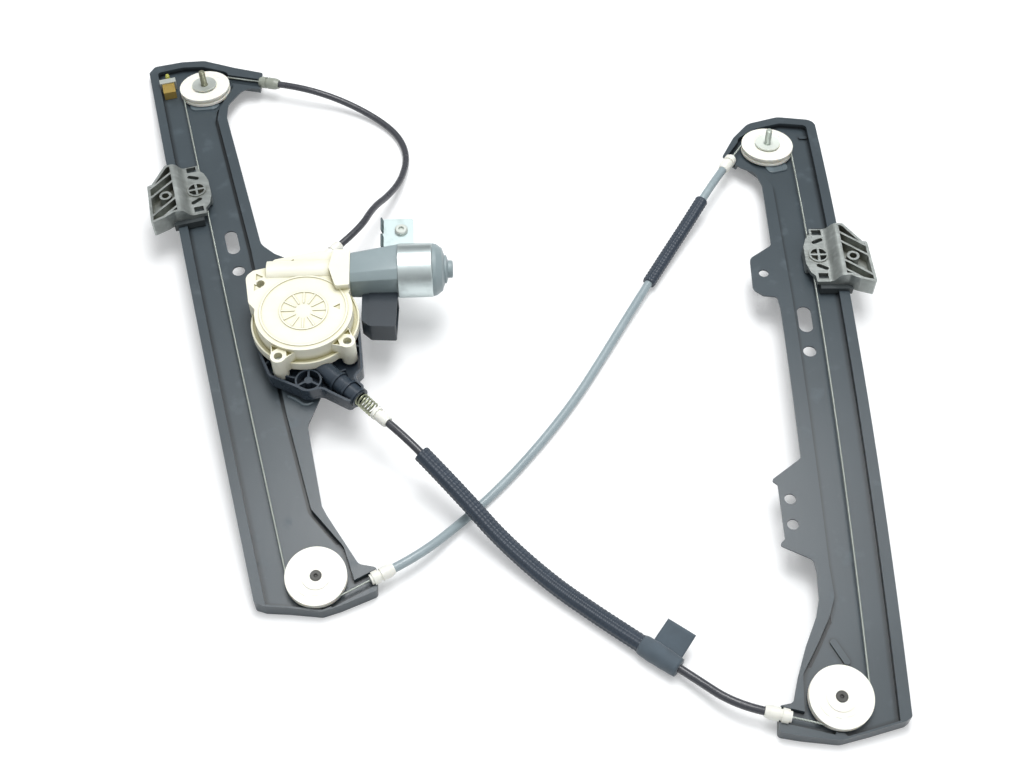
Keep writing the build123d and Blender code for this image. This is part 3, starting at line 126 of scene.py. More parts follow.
class Graph:
    """Node tree of one material or of the world."""

    def __init__(self, owner: Union[bpy.types.Material, bpy.types.World]) -> None:
        self.owner = owner
        owner.use_nodes = True
        self.tree = owner.node_tree
        self.tree.nodes.clear()

    def node(self, kind: str, settings: Mapping[str, object], inputs: Mapping[Union[int, str], object],
             output: Union[int, str] = 0) -> Signal:
        """Add a node.

        Args:
            kind: Type name of the node.
            settings: Properties, set before the sockets; "stops" fills a colour ramp.
            inputs: Values or signals of the input sockets.
            output: Name or number of the output that is returned.

        Returns:
            The chosen output.
        """
        made = self.tree.nodes.new(kind)
        for key, value in settings.items():
            if key == "stops":
                self._fill_ramp(made, value)
            else:
                setattr(made, key, value)
        for key, value in inputs.items():
            if isinstance(value, Signal):
                self.tree.links.new(value.socket, made.inputs[key])
            else:
                made.inputs[key].default_value = value
        return Signal(self, made.outputs[output])

    @staticmethod
    def _fill_ramp(made: bpy.types.Node, stops: Sequence[Tuple[float, float]]) -> None:
        """Grey stops of a colour ramp, each a place and a level."""
        ramp = made.color_ramp
        for index, (place, level) in enumerate(stops):
            stop = ramp.elements[index] if index < len(ramp.elements) else ramp.elements.new(place)
            stop.position = place
            stop.color = (level, level, level, 1.0)

    def place(self, scale: Point = (1.0, 1.0, 1.0), turn: Point = (0.0, 0.0, 0.0)) -> Signal:
        """Object coordinates, stretched and turned."""
        where = self.node("ShaderNodeTexCoord", {}, {}, "Object")
        return self.node("ShaderNodeMapping", {}, {"Vector": where, "Scale": scale, "Rotation": turn})

    def noise(self, where: Signal, scale: float, detail: float = 3.0) -> Signal:
        """Cloudy noise at a scale per metre."""
        return self.node("ShaderNodeTexNoise", {}, {"Vector": where, "Scale": scale, "Detail": detail})

    def flecks(self, where: Signal, scale: float, low: float, high: float, detail: float = 6.0) -> Signal:
        """Noise cut to patches between two levels."""
        ramp = {"stops": ((low, 0.0), (high, 1.0))}
        return self.node("ShaderNodeValToRGB", ramp, {"Fac": self.noise(where, scale, detail)})

    def openness(self, reach: float) -> Signal:
        """How open the surface is within a reach, from 0 deep in a recess to 1."""
        return self.node("ShaderNodeAmbientOcclusion", {"samples": 8, "only_local": True},
                         {"Distance": reach}, "AO")

    def mix(self, share: Value, first: object, second: object) -> Signal:
        """Blend of two colours."""
        return self.node("ShaderNodeMix", {"data_type": "RGBA"}, {0: share, 6: first, 7: second}, 2)

    def bump(self, height: Signal, strength: float, depth: float, under: Optional[Signal] = None) -> Signal:
        """Normal that follows a height, over another normal if one is given."""
        inputs: Dict[Union[int, str], object] = {"Height": height, "Strength": strength, "Distance": depth}
        if under is not None:
            inputs["Normal"] = under
        return self.node("ShaderNodeBump", {}, inputs)

    def close(self, **sockets: object) -> bpy.types.Material:
        """Principled shader with these sockets, named with low lines for blanks, and the output.

        Args:
            sockets: Values or signals of the shader's sockets.

        Returns:
            The finished material.
        """
        inputs = {key.replace("_", " "): value for key, value in sockets.items()}
        self.output("ShaderNodeOutputMaterial", self.node("ShaderNodeBsdfPrincipled", {}, inputs))
        return self.owner

    def output(self, kind: str, shader: Signal) -> None:
        """Output node of a kind for a shader."""
        made = self.tree.nodes.new(kind)
        self.tree.links.new(shader.socket, made.inputs["Surface"])


@dataclass(frozen=True)
class Surface:
    """A finish: a material with one main colour.

    In every finish the scales are per metre, and the tones are factors of the main colour.
    """

    name: str
    colour: Colour

    def tone(self, factor: float) -> Colour:
        """The main colour, made lighter or darker by one factor."""
        return (*(min(level * factor, 1.0) for level in self.colour[:3]), 1.0)

    def sockets(self, graph: Graph) -> Dict[str, object]:
        """Values and signals of the shader's sockets."""
        raise NotImplementedError

    def material(self) -> bpy.types.Material:
        """The material of this finish."""
        graph = Graph(bpy.data.materials.new(self.name))
        return graph.close(**self.sockets(graph))


@dataclass(frozen=True)
class CoatedSteel(Surface):
    """Satin coating on pressed sheet, with handling marks, faint drawing lines and painted shade in its
    recesses.
    """

    roughness: float = 0.36
    marks: float = 0.35
    reach: float = 4.5 * MM
    cloud_scale: float = 14.0
    peel_scale: float = 700.0
    mark_scale: float = 55.0
    line_stretch: Point = (140.0, 5.0, 40.0)
    line_scale: float = 4.0
    dark_tone: float = 0.84
    light_tone: float = 1.18
    scuff_tone: float = 2.1
    recess_shade_tone: float = 0.18
    recess_shade_power: float = 2.8

    def sockets(self, graph: Graph) -> Dict[str, object]:
        """Values and signals of the shader's sockets."""
        where = graph.place()
        clouds = graph.noise(where, self.cloud_scale, 4.0)
        peel = graph.noise(where, self.peel_scale, 2.0)
        lines = graph.noise(graph.place(self.line_stretch), self.line_scale, 3.0)
        marks = graph.flecks(where, self.mark_scale, 0.60, 0.74)
        tone = graph.mix(clouds, self.tone(self.dark_tone), self.tone(self.light_tone))
        scuffed = graph.mix(marks * self.marks, tone, self.tone(self.scuff_tone))
        # painted shade: the colour darkens towards recesses, by ambient occlusion
        open_share = graph.openness(self.reach).power(self.recess_shade_power)
        recess_shaded = graph.mix(open_share, self.tone(self.recess_shade_tone), scuffed)
        roughness = self.roughness + clouds * 0.10 + marks * 0.16 + (lines - 0.5) * 0.10
        fine = graph.bump(peel, 0.12, 0.2 * MM)
        normal = graph.bump(lines, 0.05, 0.3 * MM, fine)
        return dict(Base_Color=recess_shaded, Roughness=roughness.clamped(), Normal=normal,
                    Specular_IOR_Level=0.55)


@dataclass(frozen=True)
class MouldedPlastic(Surface):
    """Injection-moulded plastic, with a fine grain, cloudy tone and dusty patches, and, where a colour for it
    is given, painted shade in its recesses.
    """

    shade: Colour
    roughness: float = 0.42
    grain: float = 0.15
    dust: float = 0.15
    scatter: float = 0.0
    recess_shade: Optional[Colour] = None
    reach: float = 4.0 * MM
    cloud_scale: float = 30.0
    grain_scale: float = 1500.0
    flow_stretch: Point = (6.0, 30.0, 12.0)
    flow_scale: float = 5.0
    dust_scale: float = 75.0
    dust_tone: float = 1.35
    recess_shade_power: float = 1.4
    scatter_depth: Point = (6.0 * MM, 5.0 * MM, 4.0 * MM)

    def sockets(self, graph: Graph) -> Dict[str, object]:
        """Values and signals of the shader's sockets."""
        where = graph.place()
        clouds = graph.noise(where, self.cloud_scale, 4.0)
        grain = graph.noise(where, self.grain_scale, 2.0)
        flow = graph.noise(graph.place(self.flow_stretch), self.flow_scale, 4.0)
        dust = graph.flecks(where, self.dust_scale, 0.56, 0.72)
        tone = graph.mix((clouds * 0.7 + flow * 0.3).clamped(), self.shade, self.colour)
        surface_colour = graph.mix(dust * self.dust, tone, self.tone(self.dust_tone))
        # painted shade: darker towards recesses, by ambient occlusion
        if self.recess_shade is not None:
            surface_colour = graph.mix(graph.openness(self.reach).power(self.recess_shade_power), self.recess_shade, surface_colour)
        roughness = self.roughness + (clouds - 0.5) * 0.16 + dust * 0.12
        normal = graph.bump(grain, self.grain, 0.25 * MM)
        return dict(Base_Color=surface_colour, Roughness=roughness.clamped(), Normal=normal,
                    Subsurface_Weight=self.scatter, Subsurface_Radius=self.scatter_depth)


@dataclass(frozen=True)
class PlatedMetal(Surface):
    """Plated or drawn metal, with fine lines that the grain stretches, and stained patches."""

    stain: Colour
    roughness: float = 0.30
    grain: Point = (30.0, 260.0, 260.0)
    metallic: float = 1.0
    line_scale: float = 6.0
    cloud_scale: float = 60.0
    stain_scale: float = 90.0
    stain_share: float = 0.4
    dark_tone: float = 0.88

    def sockets(self, graph: Graph) -> Dict[str, object]:
        """Values and signals of the shader's sockets."""
        where = graph.place()
        lines = graph.noise(graph.place(self.grain), self.line_scale, 3.0)
        clouds = graph.noise(where, self.cloud_scale, 5.0)
        stains = graph.flecks(where, self.stain_scale, 0.55, 0.75)
        tone = graph.mix(clouds, self.tone(self.dark_tone), self.colour)
        stained = graph.mix(stains * self.stain_share, tone, self.stain)
        roughness = self.roughness + (lines - 0.5) * 0.16 + stains * 0.14
        normal = graph.bump(lines, 0.10, 0.2 * MM)
        return dict(Base_Color=stained, Roughness=roughness.clamped(), Metallic=self.metallic,
                    Normal=normal)


@dataclass(frozen=True)
class CastMetal(Surface):
    """Die-cast metal, lightly blasted, with a coarse skin, grey patches and painted shade in its pockets."""

    shade: Colour
    recess_shade: Colour
    roughness: float = 0.46
    reach: float = 7.0 * MM
    metallic: float = 0.85
    cloud_scale: float = 70.0
    skin_scale: float = 900.0
    pit_scale: float = 650.0
    flow_stretch: Point = (20.0, 90.0, 60.0)
    flow_scale: float = 3.0
    streak_share: float = 1.2
    streak_tone: float = 1.3
    recess_shade_power: float = 1.3

    def sockets(self, graph: Graph) -> Dict[str, object]:
        """Values and signals of the shader's sockets."""
        where = graph.place()
        clouds = graph.noise(where, self.cloud_scale, 6.0)
        skin = graph.noise(where, self.skin_scale, 4.0)
        pits = graph.node("ShaderNodeTexVoronoi", {}, {"Vector": where, "Scale": self.pit_scale})
        flow = graph.noise(graph.place(self.flow_stretch), self.flow_scale, 5.0)
        tone = graph.mix(clouds, self.shade, self.colour)
        streaked = graph.mix((flow - 0.45) * self.streak_share, tone, self.tone(self.streak_tone))
        # painted shade: darker towards pockets and recesses, by ambient occlusion
        recess_shaded = graph.mix(graph.openness(self.reach).power(self.recess_shade_power), self.recess_shade, streaked)
        roughness = self.roughness + (clouds - 0.5) * 0.22
        coarse = graph.bump(pits, 0.30, 0.4 * MM)
        normal = graph.bump(skin, 0.36, 0.4 * MM, coarse)
        return dict(Base_Color=recess_shaded, Roughness=roughness.clamped(), Metallic=self.metallic,
                    Normal=normal)


@dataclass(frozen=True)
class StrandedWire(Surface):
    """Greased steel cable whose strands wind round it.

    The turn is the cable's heading in the floor's plane, in radians.
    """

    turn: float
    lay: float = math.radians(32.0)
    strand_scale: float = 420.0
    grease_scale: float = 120.0
    gap_tone: float = 0.45
    grease_tone: float = 0.7

    def sockets(self, graph: Graph) -> Dict[str, object]:
        """Values and signals of the shader's sockets."""
        where = graph.place((1.0, 1.0, 1.0), (0.0, 0.0, self.turn + self.lay))
        strands = graph.node("ShaderNodeTexWave", {"bands_direction": "Y"},
                             {"Vector": where, "Scale": self.strand_scale, "Distortion": 0.6})
        grease = graph.noise(graph.place(), self.grease_scale, 4.0)
        tone = graph.mix(strands, self.tone(self.gap_tone), self.colour)
        greased = graph.mix(grease * 0.4, tone, self.tone(self.grease_tone))
        normal = graph.bump(strands, 0.5, 0.3 * MM)
        return dict(Base_Color=greased, Roughness=0.34 + grease * 0.2, Metallic=0.9, Normal=normal)


@dataclass(frozen=True)
class WovenTape(Surface):
    """Cloth tape, with a plain weave and a rubbed face."""

    turn: float = math.radians(37.0)
    weave_scale: float = 520.0
    cloud_scale: float = 90.0
    dark_tone: float = 0.72
    light_tone: float = 1.25
    weave_tone: float = 0.6

    def sockets(self, graph: Graph) -> Dict[str, object]:
        """Values and signals of the shader's sockets."""
        where = graph.place((1.0, 1.0, 1.0), (0.0, 0.0, self.turn))
        warp, weft = (graph.node("ShaderNodeTexWave", {"bands_direction": direction},
                                 {"Vector": where, "Scale": self.weave_scale}) for direction in "XY")
        clouds = graph.noise(where, self.cloud_scale, 5.0)
        weave = (warp * 0.5 + weft * 0.5).clamped()
        tone = graph.mix(clouds, self.tone(self.dark_tone), self.tone(self.light_tone))
        woven = graph.mix(weave * 0.25, tone, self.tone(self.weave_tone))
        normal = graph.bump(weave, 0.35, 0.3 * MM)
        return dict(Base_Color=woven, Roughness=0.62 + clouds * 0.2, Normal=normal, Sheen_Weight=0.25)


class Finish(Enum):
    """Finishes of the regulator's pieces."""

    # The coated steel finishes take painted shade in their recesses.
    RAIL = CoatedSteel("rail_coating", paint(63, 73, 79), 0.30)
    # painted highlight: a lighter copy of the rail coating, for the raised seats and the bead
    LIT_RAIL = CoatedSteel("lit_rail_coating", paint(96, 108, 114), 0.26, 0.35, 1.5 * MM)
    RIVET = CoatedSteel("phosphated_rivet", paint(66, 66, 62), 0.42)
    PULLEY = MouldedPlastic("pulley_acetal", paint(250, 249, 241),
                            paint(243, 241, 229), 0.34, 0.05, 0.0, 0.25)
    # painted shade: the cream housing darkens towards its recesses
    HOUSING = MouldedPlastic("cream_housing", paint(246, 245, 233),
                             paint(235, 233, 210), 0.38, 0.10, 0.0, 0.1,
                             paint(168, 160, 100), 6.0 * MM)
    FERRULE = MouldedPlastic("white_ferrule", paint(244, 244, 238),
                             paint(230, 230, 220), 0.30, 0.05, 0.0, 0.1)
    CLEAR = MouldedPlastic("smoky_ferrule", paint(176, 181, 170), paint(112, 118, 106), 0.30, 0.5, 0.2, 0.1)
    GEAR = MouldedPlastic("natural_acetal", paint(226, 222, 205), paint(210, 205, 186), 0.34, 0.08, 0.0)
    MOTOR = MouldedPlastic("motor_plastic", paint(151, 165, 168), paint(132, 147, 151), 0.40, 0.16, 0.12)
    # painted shade: the dark base darkens towards its recesses, between its ribs
    BASE = MouldedPlastic("dark_base", paint(56, 67, 78),
                          paint(42, 51, 61), 0.27, 0.16, 0.15, 0.0, paint(22, 28, 36))
    SOCKET = MouldedPlastic("connector_plastic", paint(46, 56, 64), paint(34, 42, 50), 0.42, 0.14, 0.2)
    SLIDER = MouldedPlastic("black_slider", paint(60, 66, 68), paint(48, 54, 56), 0.38, 0.10, 0.2)
    BUFFER = MouldedPlastic("amber_buffer", paint(178, 154, 84), paint(146, 122, 56), 0.34, 0.08, 0.1, 0.2)
    STEM = MouldedPlastic("moulded_stem", paint(186, 186, 92), paint(150, 152, 60), 0.34, 0.08, 0.1, 0.2)
    CARBON = MouldedPlastic("brush_carbon", paint(40, 40, 40), paint(30, 30, 30), 0.5)
    MAGNET = MouldedPlastic("ferrite", paint(58, 58, 60), paint(46, 46, 48), 0.5)
    DARK_CONDUIT = MouldedPlastic("dark_conduit", paint(72, 74, 79), paint(56, 57, 64), 0.26, 0.06, 0.25)
    PALE_CONDUIT = MouldedPlastic("pale_conduit", paint(160, 174, 178), paint(138, 152, 158), 0.28, 0.06, 0.2)
    SLEEVE = MouldedPlastic("ribbed_sleeve", paint(60, 71, 84), paint(42, 51, 62), 0.42, 0.16, 0.25)
    TAPE = WovenTape("cloth_tape", paint(80, 93, 103))
    ZINC = PlatedMetal("zinc_plate", paint(206, 212, 206), paint(172, 176, 156), 0.44, metallic=0.5)
    PALE_WASHER = PlatedMetal("pale_washer", paint(234, 240, 232), paint(198, 208, 194), 0.5, metallic=0.2)
    LEFT_STUD = PlatedMetal("olive_thread", paint(150, 152, 130), paint(104, 106, 84), 0.40, metallic=0.6)
    RIGHT_STUD = PlatedMetal("pale_thread", paint(206, 216, 206), paint(140, 152, 138), 0.36, metallic=0.6)
    PALE_ZINC = PlatedMetal("pale_bracket", paint(204, 219, 219), paint(160, 176, 174), 0.46, metallic=0.8)
    # painted shade with some stain: a darker copy of the bracket's pale zinc, for its upturned folds
    STAINED_SHADED_ZINC = PlatedMetal("stained_shaded_fold", paint(104, 116, 118), paint(70, 80, 80), 0.5)
    CAN = PlatedMetal("motor_can_steel", paint(216, 227, 227), paint(178, 188, 187), 0.36,
                      (260.0, 20.0, 260.0))
    SPRING = PlatedMetal("spring_steel", paint(180, 184, 160), paint(110, 128, 86), 0.34)
    COPPER = PlatedMetal("copper", paint(196, 132, 86), paint(150, 96, 60), 0.30)
    BRONZE = PlatedMetal("sintered_bronze", paint(176, 142, 88), paint(140, 110, 66), 0.42)
    # painted shade: the carrier darkens towards its pockets
    CARRIER = CastMetal("cast_carrier", paint(184, 189, 187), paint(130, 136, 132), paint(112, 112, 100))
    LEFT_WIRE = StrandedWire("left_cable_steel", paint(214, 222, 214), math.radians(-15.6))
    RIGHT_WIRE = StrandedWire("right_cable_steel", paint(214, 222, 214), 0.0)


class Paintbox:
    """Materials made once each, on first use."""

    def __init__(self) -> None:
        self._made: Dict[Finish, bpy.types.Material] = {}

    def material(self, finish: Finish) -> bpy.types.Material:
        """Material of a finish."""
        if finish not in self._made:
            self._made[finish] = finish.value.material()
        return self._made[finish]

    def dress(self, node: str, finish: Finish) -> None:
        """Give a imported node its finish.

        Args:
            node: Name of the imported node.
            finish: The finish that all its material slots take.
        """
        for holder in frame["nodes"][node].material_slots:
            holder.material = self.material(finish)
        log.info("dressed %s in %s", node, finish.name)


def placed(name: str, data: bpy.types.ID) -> Piece:
    """Object of a mesh, curve, lamp or camera, linked to the scene."""
    made = bpy.data.objects.new(name, data)
    bpy.context.scene.collection.objects.link(made)
    return made


def turn_to(heading: Vector) -> Matrix:
    """Turn that brings the z axis to a heading."""
    return heading.to_track_quat("Z", "Y").to_matrix().to_4x4()


def piece_from(mesh: Mesh, name: str, finish: Finish, box: Paintbox,
               place: Optional[Matrix] = None, smooth: bool = True, body: str = FIXED_BODY) -> Piece:
    """Object from an edited mesh, at the origin, riding on a body.

    Args:
        mesh: The finished shape, in metres.
        name: Name of the piece.
        finish: The finish of its surface.
        box: Where materials are kept.
        place: Where the shape goes, if it isn't in its place yet.
        smooth: Whether its faces are shaded smooth.
        body: The body that it moves with.

    Returns:
        The new object.
    """
    if place is not None:
        bmesh.ops.transform(mesh, matrix=place, verts=mesh.verts)
    bmesh.ops.recalc_face_normals(mesh, faces=mesh.faces)
    for face in mesh.faces:
        face.smooth = smooth
    data = bpy.data.meshes.new(name)
    mesh.to_mesh(data)
    mesh.free()
    made = placed(name, data)
    data.materials.append(box.material(finish))
    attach(made, body)
    log.info("made %s", name)
    return made


def add_block(mesh: Mesh, middle: Point, size: Point) -> None:
    """Add a box with this middle and size to a mesh."""
    matrix = Matrix.Translation(middle) @ Matrix.Diagonal((*size, 1.0))
    bmesh.ops.create_cube(mesh, size=1.0, matrix=matrix)


def round_edges(mesh: Mesh, edges: Sequence[bmesh.types.BMEdge], width: float,
                segments: int) -> None:
    """Bevel edges by a width; one segment makes a flat chamfer."""
    bmesh.ops.bevel(mesh, geom=edges, offset=width, segments=segments, profile=0.5, affect="EDGES",
                    material=-1)


def add_section(mesh: Mesh, section: Sequence[Tuple[float, float]],
                closed: bool = True) -> Tuple[List[bmesh.types.BMVert], List[bmesh.types.BMEdge]]:
    """Wire section beside the z axis.

    Args:
        mesh: Where the section goes.
        section: Distance from the axis and height of each corner.
        closed: Whether the last corner joins the first.

    Returns:
        The corners and the edges between them.
    """
    corners = [mesh.verts.new((reach, 0.0, height)) for reach, height in section]
    pairs = zip(corners[-1:] + corners[:-1], corners) if closed else zip(corners, corners[1:])
    return corners, [mesh.edges.new(pair) for pair in pairs]


def wind(mesh: Mesh, section: Sequence[object], angle: float, steps: int, rise: float = 0.0,
         merge: bool = False) -> None:
    """Spin a section about the z axis.

    Args:
        mesh: The mesh that holds it.
        section: Its corners and edges.
        angle: Whole angle, in radians.
        steps: Count of steps in the angle.
        rise: Height gained in each step.
        merge: Whether the last step joins the first.
    """
    bmesh.ops.spin(mesh, geom=section, cent=(0, 0, 0), axis=(0, 0, 1), dvec=(0, 0, rise), angle=angle,
                   steps=steps, use_merge=merge)


def close_rims(mesh: Mesh, sides: int) -> None:
    """Fill the open ends of a mesh that have no more than this many sides."""
    bmesh.ops.holes_fill(mesh, edges=[edge for edge in mesh.edges if edge.is_boundary], sides=sides)


def space_of(origin: Vector, along: Vector, across: Vector, up: Vector) -> Matrix:
    """Space with an origin and three axes."""
    return Matrix.Translation(origin) @ Matrix((along, across, up)).transposed().to_4x4()


def joint_record(name: str) -> Mapping[str, object]:
    """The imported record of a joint."""
    return next(item for item in frame["joints"] if item["name"] == name)


def joint_place(name: str) -> Matrix:
    """Matrix from a joint's own space, with z along its axis, to the scene's."""
    joint = joint_record(name)
    return Matrix.Translation(Vector(joint["pos_m"])) @ turn_to(Vector(joint["axis"]))


def spline_curve(name: str, points: Sequence[Point]) -> bpy.types.Curve:
    """Smooth open curve that is drawn towards its points and ends on the last one."""
    curve = bpy.data.curves.new(name, "CURVE")
    curve.dimensions = "3D"
    spline = curve.splines.new("NURBS")
    spline.points.add(len(points) - 1)
    for point, place in zip(spline.points, points):
        point.co = (*place, 1.0)
    spline.order_u = 3
    spline.use_endpoint_u = True
    return curve


class Path:
    """Centreline of a cable, measured by distance from its start."""

    def __init__(self, curve: Piece) -> None:
        plain = curve.data.copy()
        plain.bevel_depth = 0.0
        plain.resolution_u = 24
        holder = bpy.data.objects.new("centreline", plain)
        mesh = bpy.data.meshes.new_from_object(holder)
        self.points: List[Vector] = [vertex.co.copy() for vertex in mesh.vertices]
        bpy.data.meshes.remove(mesh)
        bpy.data.objects.remove(holder)
        bpy.data.curves.remove(plain)
        self.marks: List[float] = [0.0]
        for before, after in zip(self.points, self.points[1:]):
            self.marks.append(self.marks[-1] + (after - before).length)

    @property
    def length(self) -> float:
        """Whole length of the cable."""
        return self.marks[-1]

    def at(self, distance: float) -> Vector:
        """Point at a distance from the start, in line with the ends beyond them."""
        index = min(bisect_left(self.marks, distance, 1), len(self.marks) - 1)
        share = (distance - self.marks[index - 1]) / (self.marks[index] - self.marks[index - 1])
        return self.points[index - 1].lerp(self.points[index], share)

    def frame_at(self, distance: float, radius: float) -> Matrix:
        """Matrix that puts a unit circle round the cable at a distance."""
        step = 0.5 * MM
        heading = self.at(distance + step) - self.at(distance - step)
        return Matrix.Translation(self.at(distance)) @ turn_to(heading) @ Matrix.Scale(radius, 4)

    def nearest(self, point: Point) -> float:
        """Distance along the cable to the place nearest a point."""
        best = min(range(len(self.points)), key=lambda index: (self.points[index] - Vector(point)).length)
        return self.marks[best]


def sweep_rings(path: Path, rings: Sequence[Tuple[float, float]], segments: int,
                flutes: Sequence[float] = (1.0,)) -> Mesh:
    """Closed skin through circles round a path.

    Args:
        path: The line that the circles stand on.
        rings: Distance along the path and radius of each circle, in metres.
        segments: Corners of each circle.
        flutes: Share of the radius that each corner takes, in turn.

    Returns:
        The mesh, with both ends filled.
    """
    mesh = bmesh.new()
    place = path.frame_at(*rings[0])
    circle = bmesh.ops.create_circle(mesh, cap_ends=True, radius=1.0, segments=segments)["verts"]
    for index, corner in enumerate(circle):
        corner.co *= flutes[index % len(flutes)]
    bmesh.ops.transform(mesh, matrix=place, verts=circle)
    edges = list(mesh.edges)
    for ring in rings[1:]:
        moved = path.frame_at(*ring)
        grown = bmesh.ops.extrude_edge_only(mesh, edges=edges)["geom"]
        corners = [item for item in grown if isinstance(item, bmesh.types.BMVert)]
        edges = [item for item in grown if isinstance(item, bmesh.types.BMEdge)
                 and all(corner in corners for corner in item.verts)]
        bmesh.ops.transform(mesh, matrix=moved @ place.inverted(), verts=corners)
        place = moved
    bmesh.ops.contextual_create(mesh, geom=edges)
    return mesh


@dataclass(frozen=True)
class Conduit:
    """Sheathed cable that lies free between two ferrules.

    The route is the list of control points of its spline, in metres.
    """

    name: str
    node: str
    route: Sequence[Point]
    radius: float
    length: float
    finish: Finish
    slot: str

    def build(self, box: Paintbox) -> Piece:
        """Make the cable as one spline with a round section."""
        curve = spline_curve(self.name, self.route)
        curve.resolution_u = 12
        curve.bevel_depth = self.radius
        curve.bevel_resolution = 6
        curve.use_fill_caps = True
        made = placed(self.name, curve)
        curve.materials.append(box.material(self.finish))
        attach(made, FIXED_BODY)
        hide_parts(self.node)
        log.info("laid %s", self.name)
        return made

    def declare(self, made: Piece, pieces: Sequence[Piece]) -> None:
        """Work out the cable's width, which is then dropped."""
        2 * self.radius


@dataclass
class RibbedSleeve:
    """Protective sleeve over a stretch of conduit, fluted along and finely ribbed round.

    The rib is a list of places along one pitch, as a share of it, and depths, as a share of the full
    depth. The flutes are shares of the radius that the corners of a ring take in turn.
    """

    name: str
    node: str
    radius: float
    conduit_radius: float
    pitch: float = 3.6 * MM
    depth: float = 0.32 * MM
    rib: Sequence[Tuple[float, float]] = ((0.18, 1.0), (0.34, 0.375), (0.46, 0.0), (0.64, 0.0), (0.76, 0.375),
                                          (0.92, 1.0))
    end_step: float = 0.05 * MM
    bore_share: float = 0.9
    segments: int = 44
    flutes: Sequence[float] = (1.0, 0.985, 0.905, 0.985)

    def build(self, box: Paintbox, path: Path, start: float, end: float) -> Piece:
        """Make the sleeve between two distances along the conduit."""
        valley = self.radius - self.depth
        bore = self.conduit_radius * self.bore_share
        count = round((end - start) / self.pitch)
        step = (end - start) / count
        rings = [(start, bore), (start + self.end_step, valley)]
        rings += [(start + (rib + share) * step, self.radius - self.depth * depth)
                  for rib in range(count) for share, depth in self.rib]
        rings += [(end - self.end_step, valley), (end, bore)]
        skin = sweep_rings(path, rings, self.segments, self.flutes)
        made = piece_from(skin, self.name, Finish.SLEEVE, box)
        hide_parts(self.node)
        return made


@dataclass
class TapeWrap:
    """Cloth tape wound over the end of a sleeve, with a free flag.

    Each layer is the height of the waves that the wound edges make, and their angle over the whole wrap,
    in radians.
    """

    name: str = "cloth_tape"
    node: str = "tape_wrap"
    start_radius: float = 7.6 * MM
    full_radius: float = 8.5 * MM
    conduit_radius: float = 3.3 * MM
    edge_drop: float = 0.6 * MM
    end_step: float = 0.4 * MM
    steps: int = 26
    segments: int = 40
    layers: Sequence[Tuple[float, float]] = ((0.16 * MM, 9.0), (0.10 * MM, 23.0))
    flag_shift: float = 2.0 * MM
    flag_width: float = 25.0 * MM
    flag_reach: float = 19.0 * MM
    flag_rise: float = math.radians(20.0)
    flag_sink: float = 1.2 * MM
    flag_curl: float = 1.4 * MM
    flag_bow: float = 0.8 * MM
    thickness: float = 0.35 * MM

    def build(self, box: Paintbox, path: Path, start: float, end: float) -> Piece:
        """Make the wrap between two distances, and the flag from its upper side."""
        rings = [(start, self.start_radius - self.edge_drop)]
        for index in range(self.steps + 1):
            share = index / self.steps
            swell = math.sin(math.pi * min(share * 1.15, 1.0)) ** 0.7
            waves = sum(height * math.sin(count * share) for height, count in self.layers)
            radius = self.start_radius + (self.full_radius - self.start_radius) * swell + waves
            rings.append((start + (end - start) * share, radius))
        rings.append((end + self.end_step, self.conduit_radius * 0.95))
        wrap = sweep_rings(path, rings, self.segments)
        self._add_flag(wrap, path, (start + end) / 2 + self.flag_shift)
        made = piece_from(wrap, self.name, Finish.TAPE, box)
        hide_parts(self.node)
        return made

    def _add_flag(self, wrap: Mesh, path: Path, middle: float) -> None:
        """Two layers of tape pressed together, with a slight curl."""
        step = 5 * MM
        up = Vector((0.0, 0.0, 1.0))
        along = (path.at(middle + step) - path.at(middle - step)).normalized()
        side = up.cross(along).normalized()
        out = side * math.cos(self.flag_rise) + up * math.sin(self.flag_rise)
        facing = along.cross(out)
        root = self.full_radius - self.flag_sink
        place = space_of(path.at(middle) + out * (root + self.flag_reach / 2), along, out, facing)
        size = Matrix.Diagonal((self.flag_width / 2, self.flag_reach / 2 + MM, 1.0, 1.0))
        sheet = bmesh.ops.create_grid(wrap, x_segments=14, y_segments=10, size=1.0,
                                      matrix=place @ size)["verts"]
        inverse = place.inverted()
        for corner in sheet:
            local = inverse @ corner.co
            reach = local.y / self.flag_reach + 0.5
            across = local.x / self.flag_width
            corner.co += facing * (self.flag_curl * reach * reach * math.sin(2.6 * across + 0.4))
            corner.co += along * (self.flag_bow * reach * across * across)
        faces = list({face for corner in sheet for face in corner.link_faces})
        bmesh.ops.solidify(wrap, geom=faces, thickness=self.thickness)


